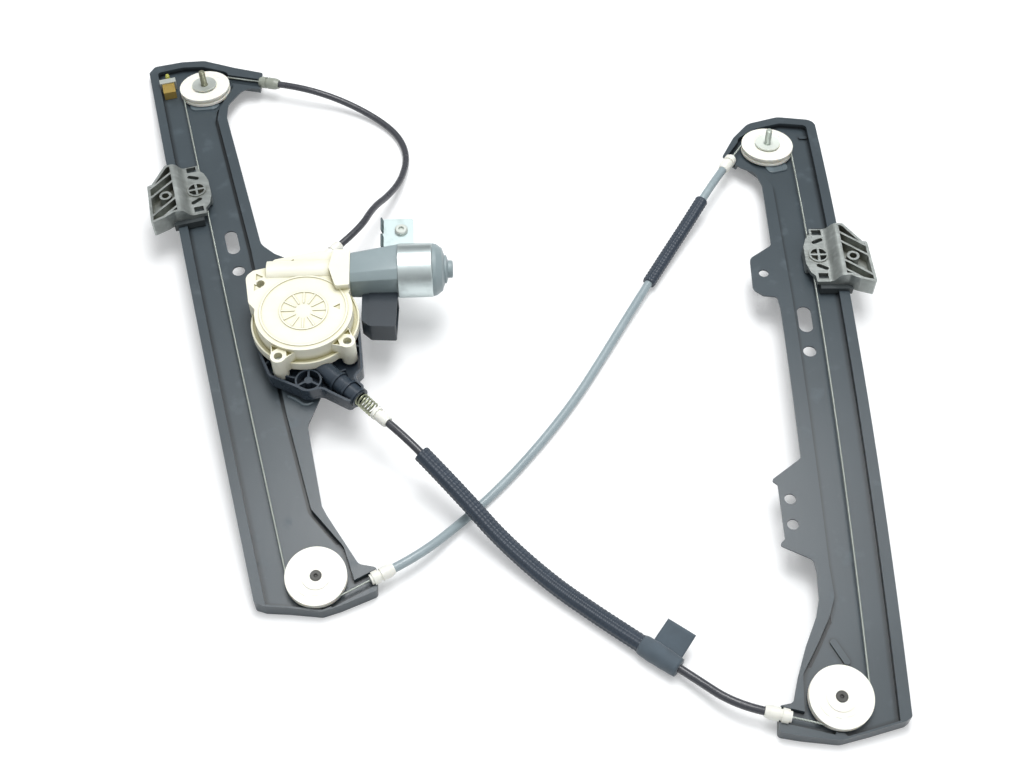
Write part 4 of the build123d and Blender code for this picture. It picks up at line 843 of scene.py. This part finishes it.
@dataclass
class Cables:
    """The three conduits, their sleeves, the tape, the bare wires and the fittings."""

    upper: Conduit = Conduit(
        "upper_cable", "upper_conduit",
        ((-0.2039, 0.3095, 0.0181), (-0.1808, 0.3035, 0.0198), (-0.144, 0.295, 0.012),
         (-0.110, 0.278, 0.0055), (-0.086, 0.255, 0.004), (-0.076, 0.227, 0.004), (-0.080, 0.193, 0.009),
         (-0.090, 0.163, 0.020), (-0.102, 0.138, 0.032), (-0.1107, 0.1066, 0.0405),
         (-0.1275, 0.0868, 0.0405)),
        3.1 * MM, 0.320, Finish.DARK_CONDUIT, "dark_conduit")
    cross: Conduit = Conduit(
        "cross_cable", "cross_conduit",
        ((-0.0682, -0.2171, 0.0147), (-0.0473, -0.2053, 0.0156), (-0.014, -0.168, 0.004),
         (0.016, -0.136, 0.004), (0.048, -0.095, 0.004), (0.077, -0.052, 0.004), (0.101, -0.009, 0.0045),
         (0.125, 0.035, 0.0064), (0.152, 0.083, 0.0088), (0.182, 0.133, 0.014), (0.206, 0.1718, 0.0238),
         (0.219, 0.1941, 0.0206)),
        3.7 * MM, 0.508, Finish.PALE_CONDUIT, "pale_conduit")
    long: Conduit = Conduit(
        "long_cable", "long_conduit",
        ((-0.0761, -0.1011, 0.0428), (-0.0616, -0.1149, 0.0428), (-0.037, -0.139, 0.035),
         (-0.010, -0.166, 0.025), (0.016, -0.194, 0.016), (0.053, -0.227, 0.009), (0.090, -0.255, 0.0076),
         (0.128, -0.283, 0.0086), (0.158, -0.305, 0.0095), (0.186, -0.3285, 0.0152),
         (0.2074, -0.3334, 0.0145)),
        3.3 * MM, 0.373, Finish.DARK_CONDUIT, "dark_conduit")
    short_sleeve_start: Point = (0.1450, 0.0700, 0.0080)
    short_sleeve_end: Point = (0.1975, 0.1580, 0.0203)
    long_sleeve_start: Point = (-0.0493, -0.127, 0.039)
    tape_start: Point = (0.1215, -0.2782, 0.0084)
    tape_end: Point = (0.1475, -0.2973, 0.0092)
    short_sleeve_radius: float = 6.0 * MM
    long_sleeve_radius: float = 7.2 * MM
    tape_overlap: float = 8.0 * MM

    def build(self, box: Paintbox) -> None:
        """Lay the conduits first, then what is on them."""
        upper = self.upper.build(box)
        cross = self.cross.build(box)
        long = self.long.build(box)
        cross_path = Path(cross)
        long_path = Path(long)
        short = RibbedSleeve("short_sleeve", "cross_sleeve", self.short_sleeve_radius, self.cross.radius)
        short_sleeve = short.build(box, cross_path, cross_path.nearest(self.short_sleeve_start),
                                   cross_path.nearest(self.short_sleeve_end))
        tape_from = long_path.nearest(self.tape_start)
        tape_to = long_path.nearest(self.tape_end)
        ribbed = RibbedSleeve("long_ribbed_sleeve", "long_sleeve", self.long_sleeve_radius, self.long.radius)
        long_sleeve = ribbed.build(box, long_path, long_path.nearest(self.long_sleeve_start),
                                   tape_from + self.tape_overlap)
        tape = TapeWrap().build(box, long_path, tape_from, tape_to)
        self.upper.declare(upper, [])
        self.cross.declare(cross, [short_sleeve])
        self.long.declare(long, [long_sleeve, tape])
        box.dress("left_wire", Finish.LEFT_WIRE)
        box.dress("right_wire", Finish.RIGHT_WIRE)
        box.dress("left_top_ferrule", Finish.CLEAR)
        for node in ("left_bottom_ferrule", "right_top_ferrule", "right_bottom_ferrule", "spring_ferrule",
                     "upper_fitting"):
            box.dress(node, Finish.FERRULE)


@dataclass
class PulleySeat:
    """Pressed tongue of the web under a top pulley.

    Its levels are measured along the pulley's axle from the joint, and its heading is in degrees.
    """

    side: str
    heading: float
    reach: float
    width: float
    web_level: float = -6.2 * MM
    height: float = 1.7 * MM
    edge: float = 0.6 * MM
    start: float = 10.0 * MM
    corner_share: float = 0.24

    def build(self, box: Paintbox) -> None:
        """Make the tongue, in the pulley's own space, from its hub to past its rim."""
        mesh = bmesh.new()
        length = self.reach - self.start
        half_height = self.web_level + self.height / 2
        add_block(mesh, (self.start + length / 2, 0.0, half_height), (length, self.width, self.height))
        upright = [edge for edge in mesh.edges if abs(edge.verts[0].co.z - edge.verts[1].co.z) > MM]
        round_edges(mesh, upright, self.width * self.corner_share, 5)
        top = [edge for edge in mesh.edges if all(corner.co.z > half_height for corner in edge.verts)]
        round_edges(mesh, top, self.edge, 2)
        joint = joint_record(f"{self.side}_top_turn")
        up = Vector(joint["axis"])
        out = Vector((math.cos(math.radians(self.heading)), math.sin(math.radians(self.heading)), 0.0))
        out = (out - up * out.dot(up)).normalized()
        place = space_of(Vector(joint["pos_m"]), out, up.cross(out), up)
        piece_from(mesh, f"{self.side}_pulley_seat", Finish.LIT_RAIL, box, place, False)


def ridge(name: str, points: Sequence[Point], radius: float, finish: Finish, box: Paintbox) -> None:
    """Round ridge along a smooth line, with tapered ends.

    Args:
        name: Name of the piece.
        points: Control points of the line, in metres.
        radius: Radius of the ridge.
        finish: The finish of its surface.
        box: Where materials are kept.
    """
    data = spline_curve(name, points)
    holder = bpy.data.objects.new(name, data)
    path = Path(holder)
    bpy.data.objects.remove(holder)
    bpy.data.curves.remove(data)
    steps = 24
    end_share = 0.15
    rings = []
    for index in range(steps + 1):
        swell = math.sin(math.pi * index / steps) ** 0.35
        rings.append((path.length * index / steps, radius * (end_share + (1.0 - end_share) * swell)))
    piece_from(sweep_rings(path, rings, 12), name, finish, box)


@dataclass
class GuideRails:
    """The two pressed rails and the end stop on the left one.

    The bead's line is given along and across the left rail from its middle, in mm.
    """

    arch_radius: float = 1950.0 * MM
    apex: float = 29.49 * MM
    left_middle: Tuple[float, float] = (-201.75 * MM, 40.1 * MM)
    left_turn: float = math.radians(15.6)
    bead_line: Sequence[Tuple[float, float]] = ((-114.0, 9.6), (-115.5, 12.0), (-120.9, 17.4), (-128.0, 22.8),
                                                (-125.5, 29.5))
    bead_radius: float = 1.5 * MM
    flange_rise: float = 5.3 * MM
    stem_radius: float = 2.3 * MM
    stem_tip_share: float = 0.8
    stem_length: float = 5.5 * MM
    stem_sink: float = 1.5 * MM
    stem_edge: float = 0.6 * MM

    def on_left_web(self, along: float, across: float, lift: float) -> Point:
        """Point over the left rail's web.

        Args:
            along: Distance up the rail from its middle, in mm.
            across: Distance to the right of its middle line, in mm.
            lift: Height over the web, in metres.

        Returns:
            The point, in metres.
        """
        cosine, sine = math.cos(self.left_turn), math.sin(self.left_turn)
        x = self.left_middle[0] + (across * cosine - along * sine) * MM
        y = self.left_middle[1] + (across * sine + along * cosine) * MM
        drop = (along * MM) ** 2 / (2 * self.arch_radius)
        return (x, y, self.apex - drop + lift)

    def build(self, box: Paintbox) -> None:
        """Dress the rails and the stop, and add what is pressed in the webs."""
        box.dress("left_rail", Finish.RAIL)
        box.dress("right_rail", Finish.RAIL)
        # The seats and the bead take the lighter copy of the rail coating, a painted highlight.
        PulleySeat("left", -86.0, 27.0 * MM, 28.0 * MM).build(box)
        PulleySeat("right", -73.0, 31.0 * MM, 20.0 * MM).build(box)
        line = [self.on_left_web(along, across, self.flange_rise) for along, across in self.bead_line]
        ridge("left_flange_bead", line, self.bead_radius, Finish.LIT_RAIL, box)
        box.dress("end_stop_buffer", Finish.BUFFER)
        box.dress("end_stop_clip", Finish.ZINC)
        self.stop_stem(box)

    def stop_stem(self, box: Paintbox) -> None:
        """Moulded stem at the upper end of the end stop's block."""
        low, high = (Vector(corner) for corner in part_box("end_stop_buffer"))
        heading = Vector((-math.sin(self.left_turn), math.cos(self.left_turn), 0.0))
        reach = (high.y - low.y) / 2 + self.stem_length / 2 - self.stem_sink
        place = Matrix.Translation((low + high) / 2 + heading * reach) @ turn_to(heading)
        mesh = bmesh.new()
        bmesh.ops.create_cone(mesh, cap_ends=True, segments=24, radius1=self.stem_radius,
                              radius2=self.stem_radius * self.stem_tip_share, depth=self.stem_length)
        rims = [edge for edge in mesh.edges if all(corner.co.z > 0 for corner in edge.verts)]
        round_edges(mesh, rims, self.stem_edge, 3)
        piece_from(mesh, "stop_stem", Finish.STEM, box, place)


@dataclass
class TopStud:
    """Threaded stud that is the axle of a top pulley. Its levels are measured from the pulley's joint."""

    side: str
    thread_start: float = 4.9 * MM
    thread_length: float = 15.6 * MM
    seat: float = -3.8 * MM
    shoulder_radius: float = 4.55 * MM
    shoulder_end: float = 3.7 * MM
    pilot_radius: float = 3.5 * MM
    root_radius: float = 2.55 * MM
    crest_radius: float = 2.98 * MM
    foot_sink: float = 0.1 * MM
    tip_length: float = 0.4 * MM
    tip_drop: float = 0.5 * MM
    pitch: float = 1.0 * MM
    steps_a_turn: int = 24
    steps_round: int = 32

    def build(self, box: Paintbox) -> None:
        """Turn the stud's body and wind its thread."""
        end = self.thread_start + self.thread_length
        mesh = bmesh.new()
        profile = [
            (0.0, self.seat), (self.shoulder_radius, self.seat), (self.shoulder_radius, self.shoulder_end),
            (self.pilot_radius, self.shoulder_end), (self.pilot_radius, self.thread_start),
            (self.root_radius, self.thread_start), (self.root_radius, end - self.tip_length),
            (self.root_radius - self.tip_drop, end), (0.0, end),
        ]
        corners, edges = add_section(mesh, profile, closed=False)
        wind(mesh, corners + edges, 2 * math.pi, self.steps_round, merge=True)
        bmesh.ops.remove_doubles(mesh, verts=mesh.verts, dist=0.001 * MM)
        self._wind_thread(mesh)
        finish = Finish.LEFT_STUD if self.side == "left" else Finish.RIGHT_STUD
        made = piece_from(mesh, f"{self.side}_threaded_stud", finish, box,
                          joint_place(f"{self.side}_top_turn"), False)
        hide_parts(f"{self.side}_top_stud")

    def _wind_thread(self, mesh: Mesh) -> None:
        """Wind a ridge of V section up the stud."""
        turns = int(self.thread_length / self.pitch) - 1
        foot = self.root_radius - self.foot_sink
        low = self.thread_start + 0.2 * MM
        section = [(foot, low), (self.crest_radius, low + 0.42 * self.pitch),
                   (self.crest_radius, low + 0.52 * self.pitch), (foot, low + 0.94 * self.pitch)]
        corners, edges = add_section(mesh, section)
        wind(mesh, corners + edges, 2 * math.pi * turns, turns * self.steps_a_turn,
             self.pitch / self.steps_a_turn)
        close_rims(mesh, 6)


@dataclass
class FaceArcs:
    """Short moulded arcs on the face of a pulley.

    Each arc is its radius in mm, where it starts and how far it runs, in degrees.
    """

    wheel: str
    level: float = 3.35 * MM
    rise: float = 0.5 * MM
    width: float = 0.8 * MM
    top_share: float = 0.8
    steps: int = 10
    arcs: Sequence[Tuple[float, float, float]] = (
        (17.2, 200.0, 34.0), (15.4, 248.0, 16.0), (14.6, 280.0, 26.0))

    def build(self, box: Paintbox) -> None:
        """Spin each arc's section about the wheel's axle."""
        mesh = bmesh.new()
        top = self.level + self.rise
        for radius, start, sweep in self.arcs:
            inner = radius * MM
            section = [(inner, self.level), (inner + self.width, self.level),
                       (inner + self.width * self.top_share, top), (inner, top)]
            corners, edges = add_section(mesh, section)
            bmesh.ops.transform(mesh, matrix=Matrix.Rotation(math.radians(start), 4, "Z"), verts=corners)
            wind(mesh, corners + edges, math.radians(sweep), self.steps)
        close_rims(mesh, 4)
        piece_from(mesh, f"{self.wheel}_arcs", Finish.PULLEY, box,
                   joint_place(f"{self.wheel}_turn"), False, f"{self.wheel}_wheel")


@dataclass
class CableWheels:
    """The four pulleys with their studs, washers and rivets."""

    def build(self, box: Paintbox) -> None:
        """Dress the wheels and make the threaded studs."""
        for side in ("left", "right"):
            box.dress(f"{side}_top_pulley", Finish.PULLEY)
            box.dress(f"{side}_bottom_pulley", Finish.PULLEY)
            box.dress(f"{side}_top_washer", Finish.ZINC if side == "left" else Finish.PALE_WASHER)
            box.dress(f"{side}_bottom_rivet", Finish.RIVET)
            TopStud(side).build(box)
            FaceArcs(f"{side}_top").build(box)
            FaceArcs(f"{side}_bottom").build(box)


@dataclass
class Carriages:
    """Cast carriers with their sliders and cable nipples."""

    def build(self, box: Paintbox) -> None:
        """Dress both carriages."""
        for side in ("left", "right"):
            box.dress(f"{side}_carrier", Finish.CARRIER)
            box.dress(f"{side}_slider", Finish.SLIDER)
            box.dress(f"{side}_nipple", Finish.ZINC)


def drive_space() -> Matrix:
    """Space of the drive unit: x along the armature shaft, z up, its origin beside the drum."""
    joint = joint_record("motor_turn")
    along = Vector(joint["axis"])
    up = Vector((0.0, 0.0, 1.0))
    return space_of(Vector(joint["pos_m"]), along, up.cross(along), up)


def shade_by_angle(made: Piece, limit: float) -> None:
    """Smooth shading, broken at edges that turn by more than a limit in degrees."""
    mesh = bmesh.new()
    mesh.from_mesh(made.data)
    for edge in mesh.edges:
        edge.smooth = len(edge.link_faces) == 2 and edge.calc_face_angle() < math.radians(limit)
    mesh.to_mesh(made.data)
    mesh.free()


@dataclass
class FrontHousing:
    """Moulded housing between the gear and the can, wider towards the can.

    Each share is how far the narrow end reaches on that side, against the wide end.
    """

    start: float = 37.9 * MM
    end: float = 78.0 * MM
    half_width: float = 19.0 * MM
    back_share: float = 0.74
    front_share: float = 0.94
    top_share: float = 0.74
    low_share: float = 0.90
    chamfer: float = 6.5 * MM
    edge: float = 0.8 * MM
    wall: float = 3.0 * MM
    shading_limit: float = 22.0

    def build(self, box: Paintbox) -> None:
        """Make the tapered tube and give it its wall."""
        mesh = bmesh.new()
        length = self.end - self.start
        width = 2 * self.half_width
        add_block(mesh, ((self.start + self.end) / 2, 0.0, 0.0), (length, width, width))
        long_edges = [edge for edge in mesh.edges if abs(edge.verts[0].co.x - edge.verts[1].co.x) > MM]
        round_edges(mesh, long_edges, self.chamfer, 1)
        round_edges(mesh, list(mesh.edges), self.edge, 2)
        for corner in mesh.verts:
            share = (corner.co.x - self.start) / length
            across = self.back_share if corner.co.y > 0 else self.front_share
            upwards = self.top_share if corner.co.z > 0 else self.low_share
            corner.co.y *= across + (1.0 - across) * share
            corner.co.z *= upwards + (1.0 - upwards) * share
        smallest_end = 100 * MM * MM
        ends = [face for face in mesh.faces if abs(face.normal.x) > 0.9 and face.calc_area() > smallest_end]
        bmesh.ops.inset_individual(mesh, faces=ends, thickness=self.wall)
        bmesh.ops.bridge_loops(mesh, edges=[edge for face in ends for edge in face.edges])
        bmesh.ops.delete(mesh, geom=ends, context="FACES_ONLY")
        made = piece_from(mesh, "front_housing", Finish.MOTOR, box, drive_space())
        shade_by_angle(made, self.shading_limit)
        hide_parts("motor_front_housing")


@dataclass
class GearCover:
    """Gear housing whose block at the motor is drawn in to the front housing's narrow end."""

    block_start: float = 19.0 * MM
    back: float = 14.6 * MM
    top: float = 13.4 * MM
    shading_limit: float = 30.0

    def build(self, box: Paintbox) -> None:
        """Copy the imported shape, draw its block in and close it again."""
        mesh = bmesh.new()
        mesh.from_mesh(frame["nodes"]["gear_housing"].data)
        bmesh.ops.remove_doubles(mesh, verts=mesh.verts, dist=0.002 * MM)
        space = drive_space()
        bmesh.ops.transform(mesh, matrix=space.inverted(), verts=mesh.verts)
        for corner in mesh.verts:
            if corner.co.x > self.block_start:
                corner.co.y = min(corner.co.y, self.back)
                corner.co.z = min(corner.co.z, self.top)
        bmesh.ops.dissolve_degenerate(mesh, dist=0.005 * MM, edges=mesh.edges)
        made = piece_from(mesh, "gear_cover", Finish.HOUSING, box, space)
        shade_by_angle(made, self.shading_limit)
        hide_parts("gear_housing")


@dataclass
class TautSpring:
    """Coil spring between the base's nozzle and the long cable's ferrule."""

    start: float = -5.4 * MM
    showing: float = 17.9 * MM
    coil_radius: float = 5.4 * MM
    wire_radius: float = 0.8 * MM
    turns: int = 7
    steps_a_turn: int = 22
    wire_sides: int = 10

    def build(self, box: Paintbox) -> None:
        """Wind the wire from inside the nozzle to the ferrule."""
        seat, middle = (sum((Vector(corner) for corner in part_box(node)), Vector()) / 2
                        for node in ("spring_ferrule", "tension_spring"))
        heading = (seat - middle).normalized()
        place = Matrix.Translation(middle) @ turn_to(heading)
        length = self.showing - self.start - 2 * self.wire_radius
        mesh = bmesh.new()
        wire = Matrix.Translation((self.coil_radius, 0.0, -length / 2)) @ Matrix.Rotation(math.pi / 2, 4, "X")
        section = bmesh.ops.create_circle(mesh, segments=self.wire_sides, radius=self.wire_radius,
                                          matrix=wire)["verts"]
        edges = list({edge for corner in section for edge in corner.link_edges})
        steps = self.turns * self.steps_a_turn
        wind(mesh, section + edges, 2 * math.pi * self.turns, steps, length / steps)
        close_rims(mesh, self.wire_sides + 2)
        made = piece_from(mesh, "taut_spring", Finish.SPRING, box, place)
        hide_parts("tension_spring")


@dataclass
class BracketFolds:
    """Upturned folds along the flag bracket's outer edge, in the drive unit's space."""

    edge_x: float = 64.0 * MM
    near: float = 21.0 * MM
    far: float = 53.0 * MM
    gap: float = 4.0 * MM
    foot: float = 3.6 * MM
    height: float = 5.0 * MM
    thickness: float = 1.5 * MM
    edge: float = 0.4 * MM
    lean: float = 0.25

    def build(self, box: Paintbox) -> None:
        """Make the two folds, each a bevelled lug that leans outwards."""
        mesh = bmesh.new()
        length = (self.far - self.near - self.gap) / 2
        for start in (self.near, self.far - length):
            middle = (self.edge_x + self.thickness / 2, start + length / 2, self.foot + self.height / 2)
            add_block(mesh, middle, (self.thickness, length, self.height))
        round_edges(mesh, list(mesh.edges), self.edge, 2)
        for corner in mesh.verts:
            corner.co.x -= self.lean * (corner.co.z - self.foot)
        # The folds take the darker copy of the bracket's zinc: painted shade with some stain.
        piece_from(mesh, "bracket_folds", Finish.STAINED_SHADED_ZINC, box, drive_space(), False)


@dataclass
class DriveUnit:
    """Cable drum, gear housing and motor."""

    finishes: Tuple[Tuple[str, Finish], ...] = (
        ("drum_base", Finish.BASE), ("base_rivets", Finish.RIVET), ("drum_pin", Finish.ZINC),
        ("cable_drum", Finish.GEAR), ("worm_wheel", Finish.GEAR), ("gear_lid", Finish.GEAR),
        ("housing_screws", Finish.ZINC), ("armature_shaft", Finish.ZINC),
        ("armature_core", Finish.CAN), ("commutator", Finish.COPPER),
        ("motor_can", Finish.CAN), ("magnets", Finish.MAGNET), ("shaft_bushes", Finish.BRONZE),
        ("brushes", Finish.CARBON), ("motor_end_cap", Finish.MOTOR), ("motor_bracket", Finish.PALE_ZINC),
        ("bracket_screw", Finish.ZINC), ("connector_housing", Finish.SOCKET),
        ("connector_pins", Finish.COPPER),
    )

    def build(self, box: Paintbox) -> None:
        """Dress the drive unit and make its outer shapes."""
        for node, finish in self.finishes:
            box.dress(node, finish)
        GearCover().build(box)
        FrontHousing().build(box)
        BracketFolds().build(box)
        TautSpring().build(box)


@dataclass(frozen=True)
class Softbox:
    """Square area lamp that faces a point."""

    name: str
    place: Point
    target: Point
    size: float
    power: float

    def build(self) -> None:
        """Hang the lamp."""
        data = bpy.data.lights.new(self.name, "AREA")
        data.energy = self.power
        data.size = self.size
        lamp = placed(self.name, data)
        lamp.location = self.place
        lamp.rotation_euler = (Vector(self.target) - Vector(self.place)).to_track_quat("-Z", "Y").to_euler()


@dataclass
class Studio:
    """Pale floor, soft lamps and the camera at the photograph's angle."""

    camera_place: Point = (0.02325, -0.7474, 1.031)
    camera_tilt: float = math.radians(34.7)
    lens: float = 51.68
    sensor: float = 36.0
    lamps: Tuple[Softbox, ...] = (
        Softbox("back_softbox", (0.15, 0.62, 1.9), (0.0, -0.05, 0.0), 0.9, 18.5),
        Softbox("top_softbox", (0.1, 0.05, 1.9), (0.05, -0.2, 0.0), 0.8, 11.0),
        Softbox("front_softbox", (0.9, -1.2, 1.2), (0.0, 0.0, 0.0), 1.2, 3.5),
    )
    wall_level: float = 0.26
    ceiling_level: float = 0.80
    wall_colour: Colour = (0.97, 0.985, 1.0, 1.0)
    floor_size: float = 8.0
    floor_level: float = -0.2 * MM
    floor_shade: Colour = (0.80, 0.81, 0.815, 1.0)
    floor_colour: Colour = (0.84, 0.845, 0.85, 1.0)
    floor_glow: float = 0.22

    def build_camera(self) -> None:
        """Put the camera where the photograph was taken from."""
        data = bpy.data.cameras.new("photo_camera")
        data.lens = self.lens
        data.sensor_width = self.sensor
        data.clip_start = 0.01
        camera = placed("photo_camera", data)
        camera.location = self.camera_place
        camera.rotation_euler = (self.camera_tilt, 0.0, 0.0)
        bpy.context.scene.camera = camera

    def build_light(self) -> None:
        """Hang the lamps and make a world that is lighter overhead than at the walls."""
        for lamp in self.lamps:
            lamp.build()
        world = bpy.data.worlds.new("studio_walls")
        graph = Graph(world)
        direction = graph.node("ShaderNodeTexCoord", {}, {}, "Generated")
        height = graph.node("ShaderNodeSeparateXYZ", {}, {0: direction}, "Z").clamped()
        strength = self.wall_level + height.power(2.0) * (self.ceiling_level - self.wall_level)
        sky = graph.node("ShaderNodeBackground", {}, {"Color": self.wall_colour, "Strength": strength})
        graph.output("ShaderNodeOutputWorld", sky)
        bpy.context.scene.world = world
        bpy.context.scene.view_settings.view_transform = "Standard"

    def build_floor(self) -> None:
        """Plain pale floor that shows white and keeps the object's shadow."""
        mesh = bmesh.new()
        bmesh.ops.create_grid(mesh, x_segments=1, y_segments=1, size=self.floor_size / 2,
                              matrix=Matrix.Translation((0.0, 0.0, self.floor_level)))
        data = bpy.data.meshes.new("floor")
        mesh.to_mesh(data)
        mesh.free()
        floor = placed("floor", data)
        graph = Graph(bpy.data.materials.new("white_floor"))
        seen = graph.node("ShaderNodeLightPath", {}, {}, "Is Camera Ray")
        glossy = graph.node("ShaderNodeLightPath", {}, {}, "Is Glossy Ray")
        glow = (seen + glossy).clamped() * self.floor_glow
        base = graph.mix(graph.noise(graph.place(), 3.0, 2.0), self.floor_shade, self.floor_colour)
        light = graph.mix(glow, (0.0, 0.0, 0.0, 1.0), (1.0, 1.0, 1.0, 1.0))
        data.materials.append(graph.close(Base_Color=base, Roughness=0.7, Emission_Color=light,
                                          Emission_Strength=1.0, Specular_IOR_Level=0.2))


def main() -> None:
    """Place the camera, build the regulator from its cables to its drive, then the light and the floor."""
    logging.basicConfig(level=logging.INFO, format="%(name)s: %(message)s")
    box = Paintbox()
    studio = Studio()
    studio.build_camera()
    Cables().build(box)
    GuideRails().build(box)
    CableWheels().build(box)
    Carriages().build(box)
    DriveUnit().build(box)
    studio.build_light()
    studio.build_floor()


if __name__ == "__main__":
    main()
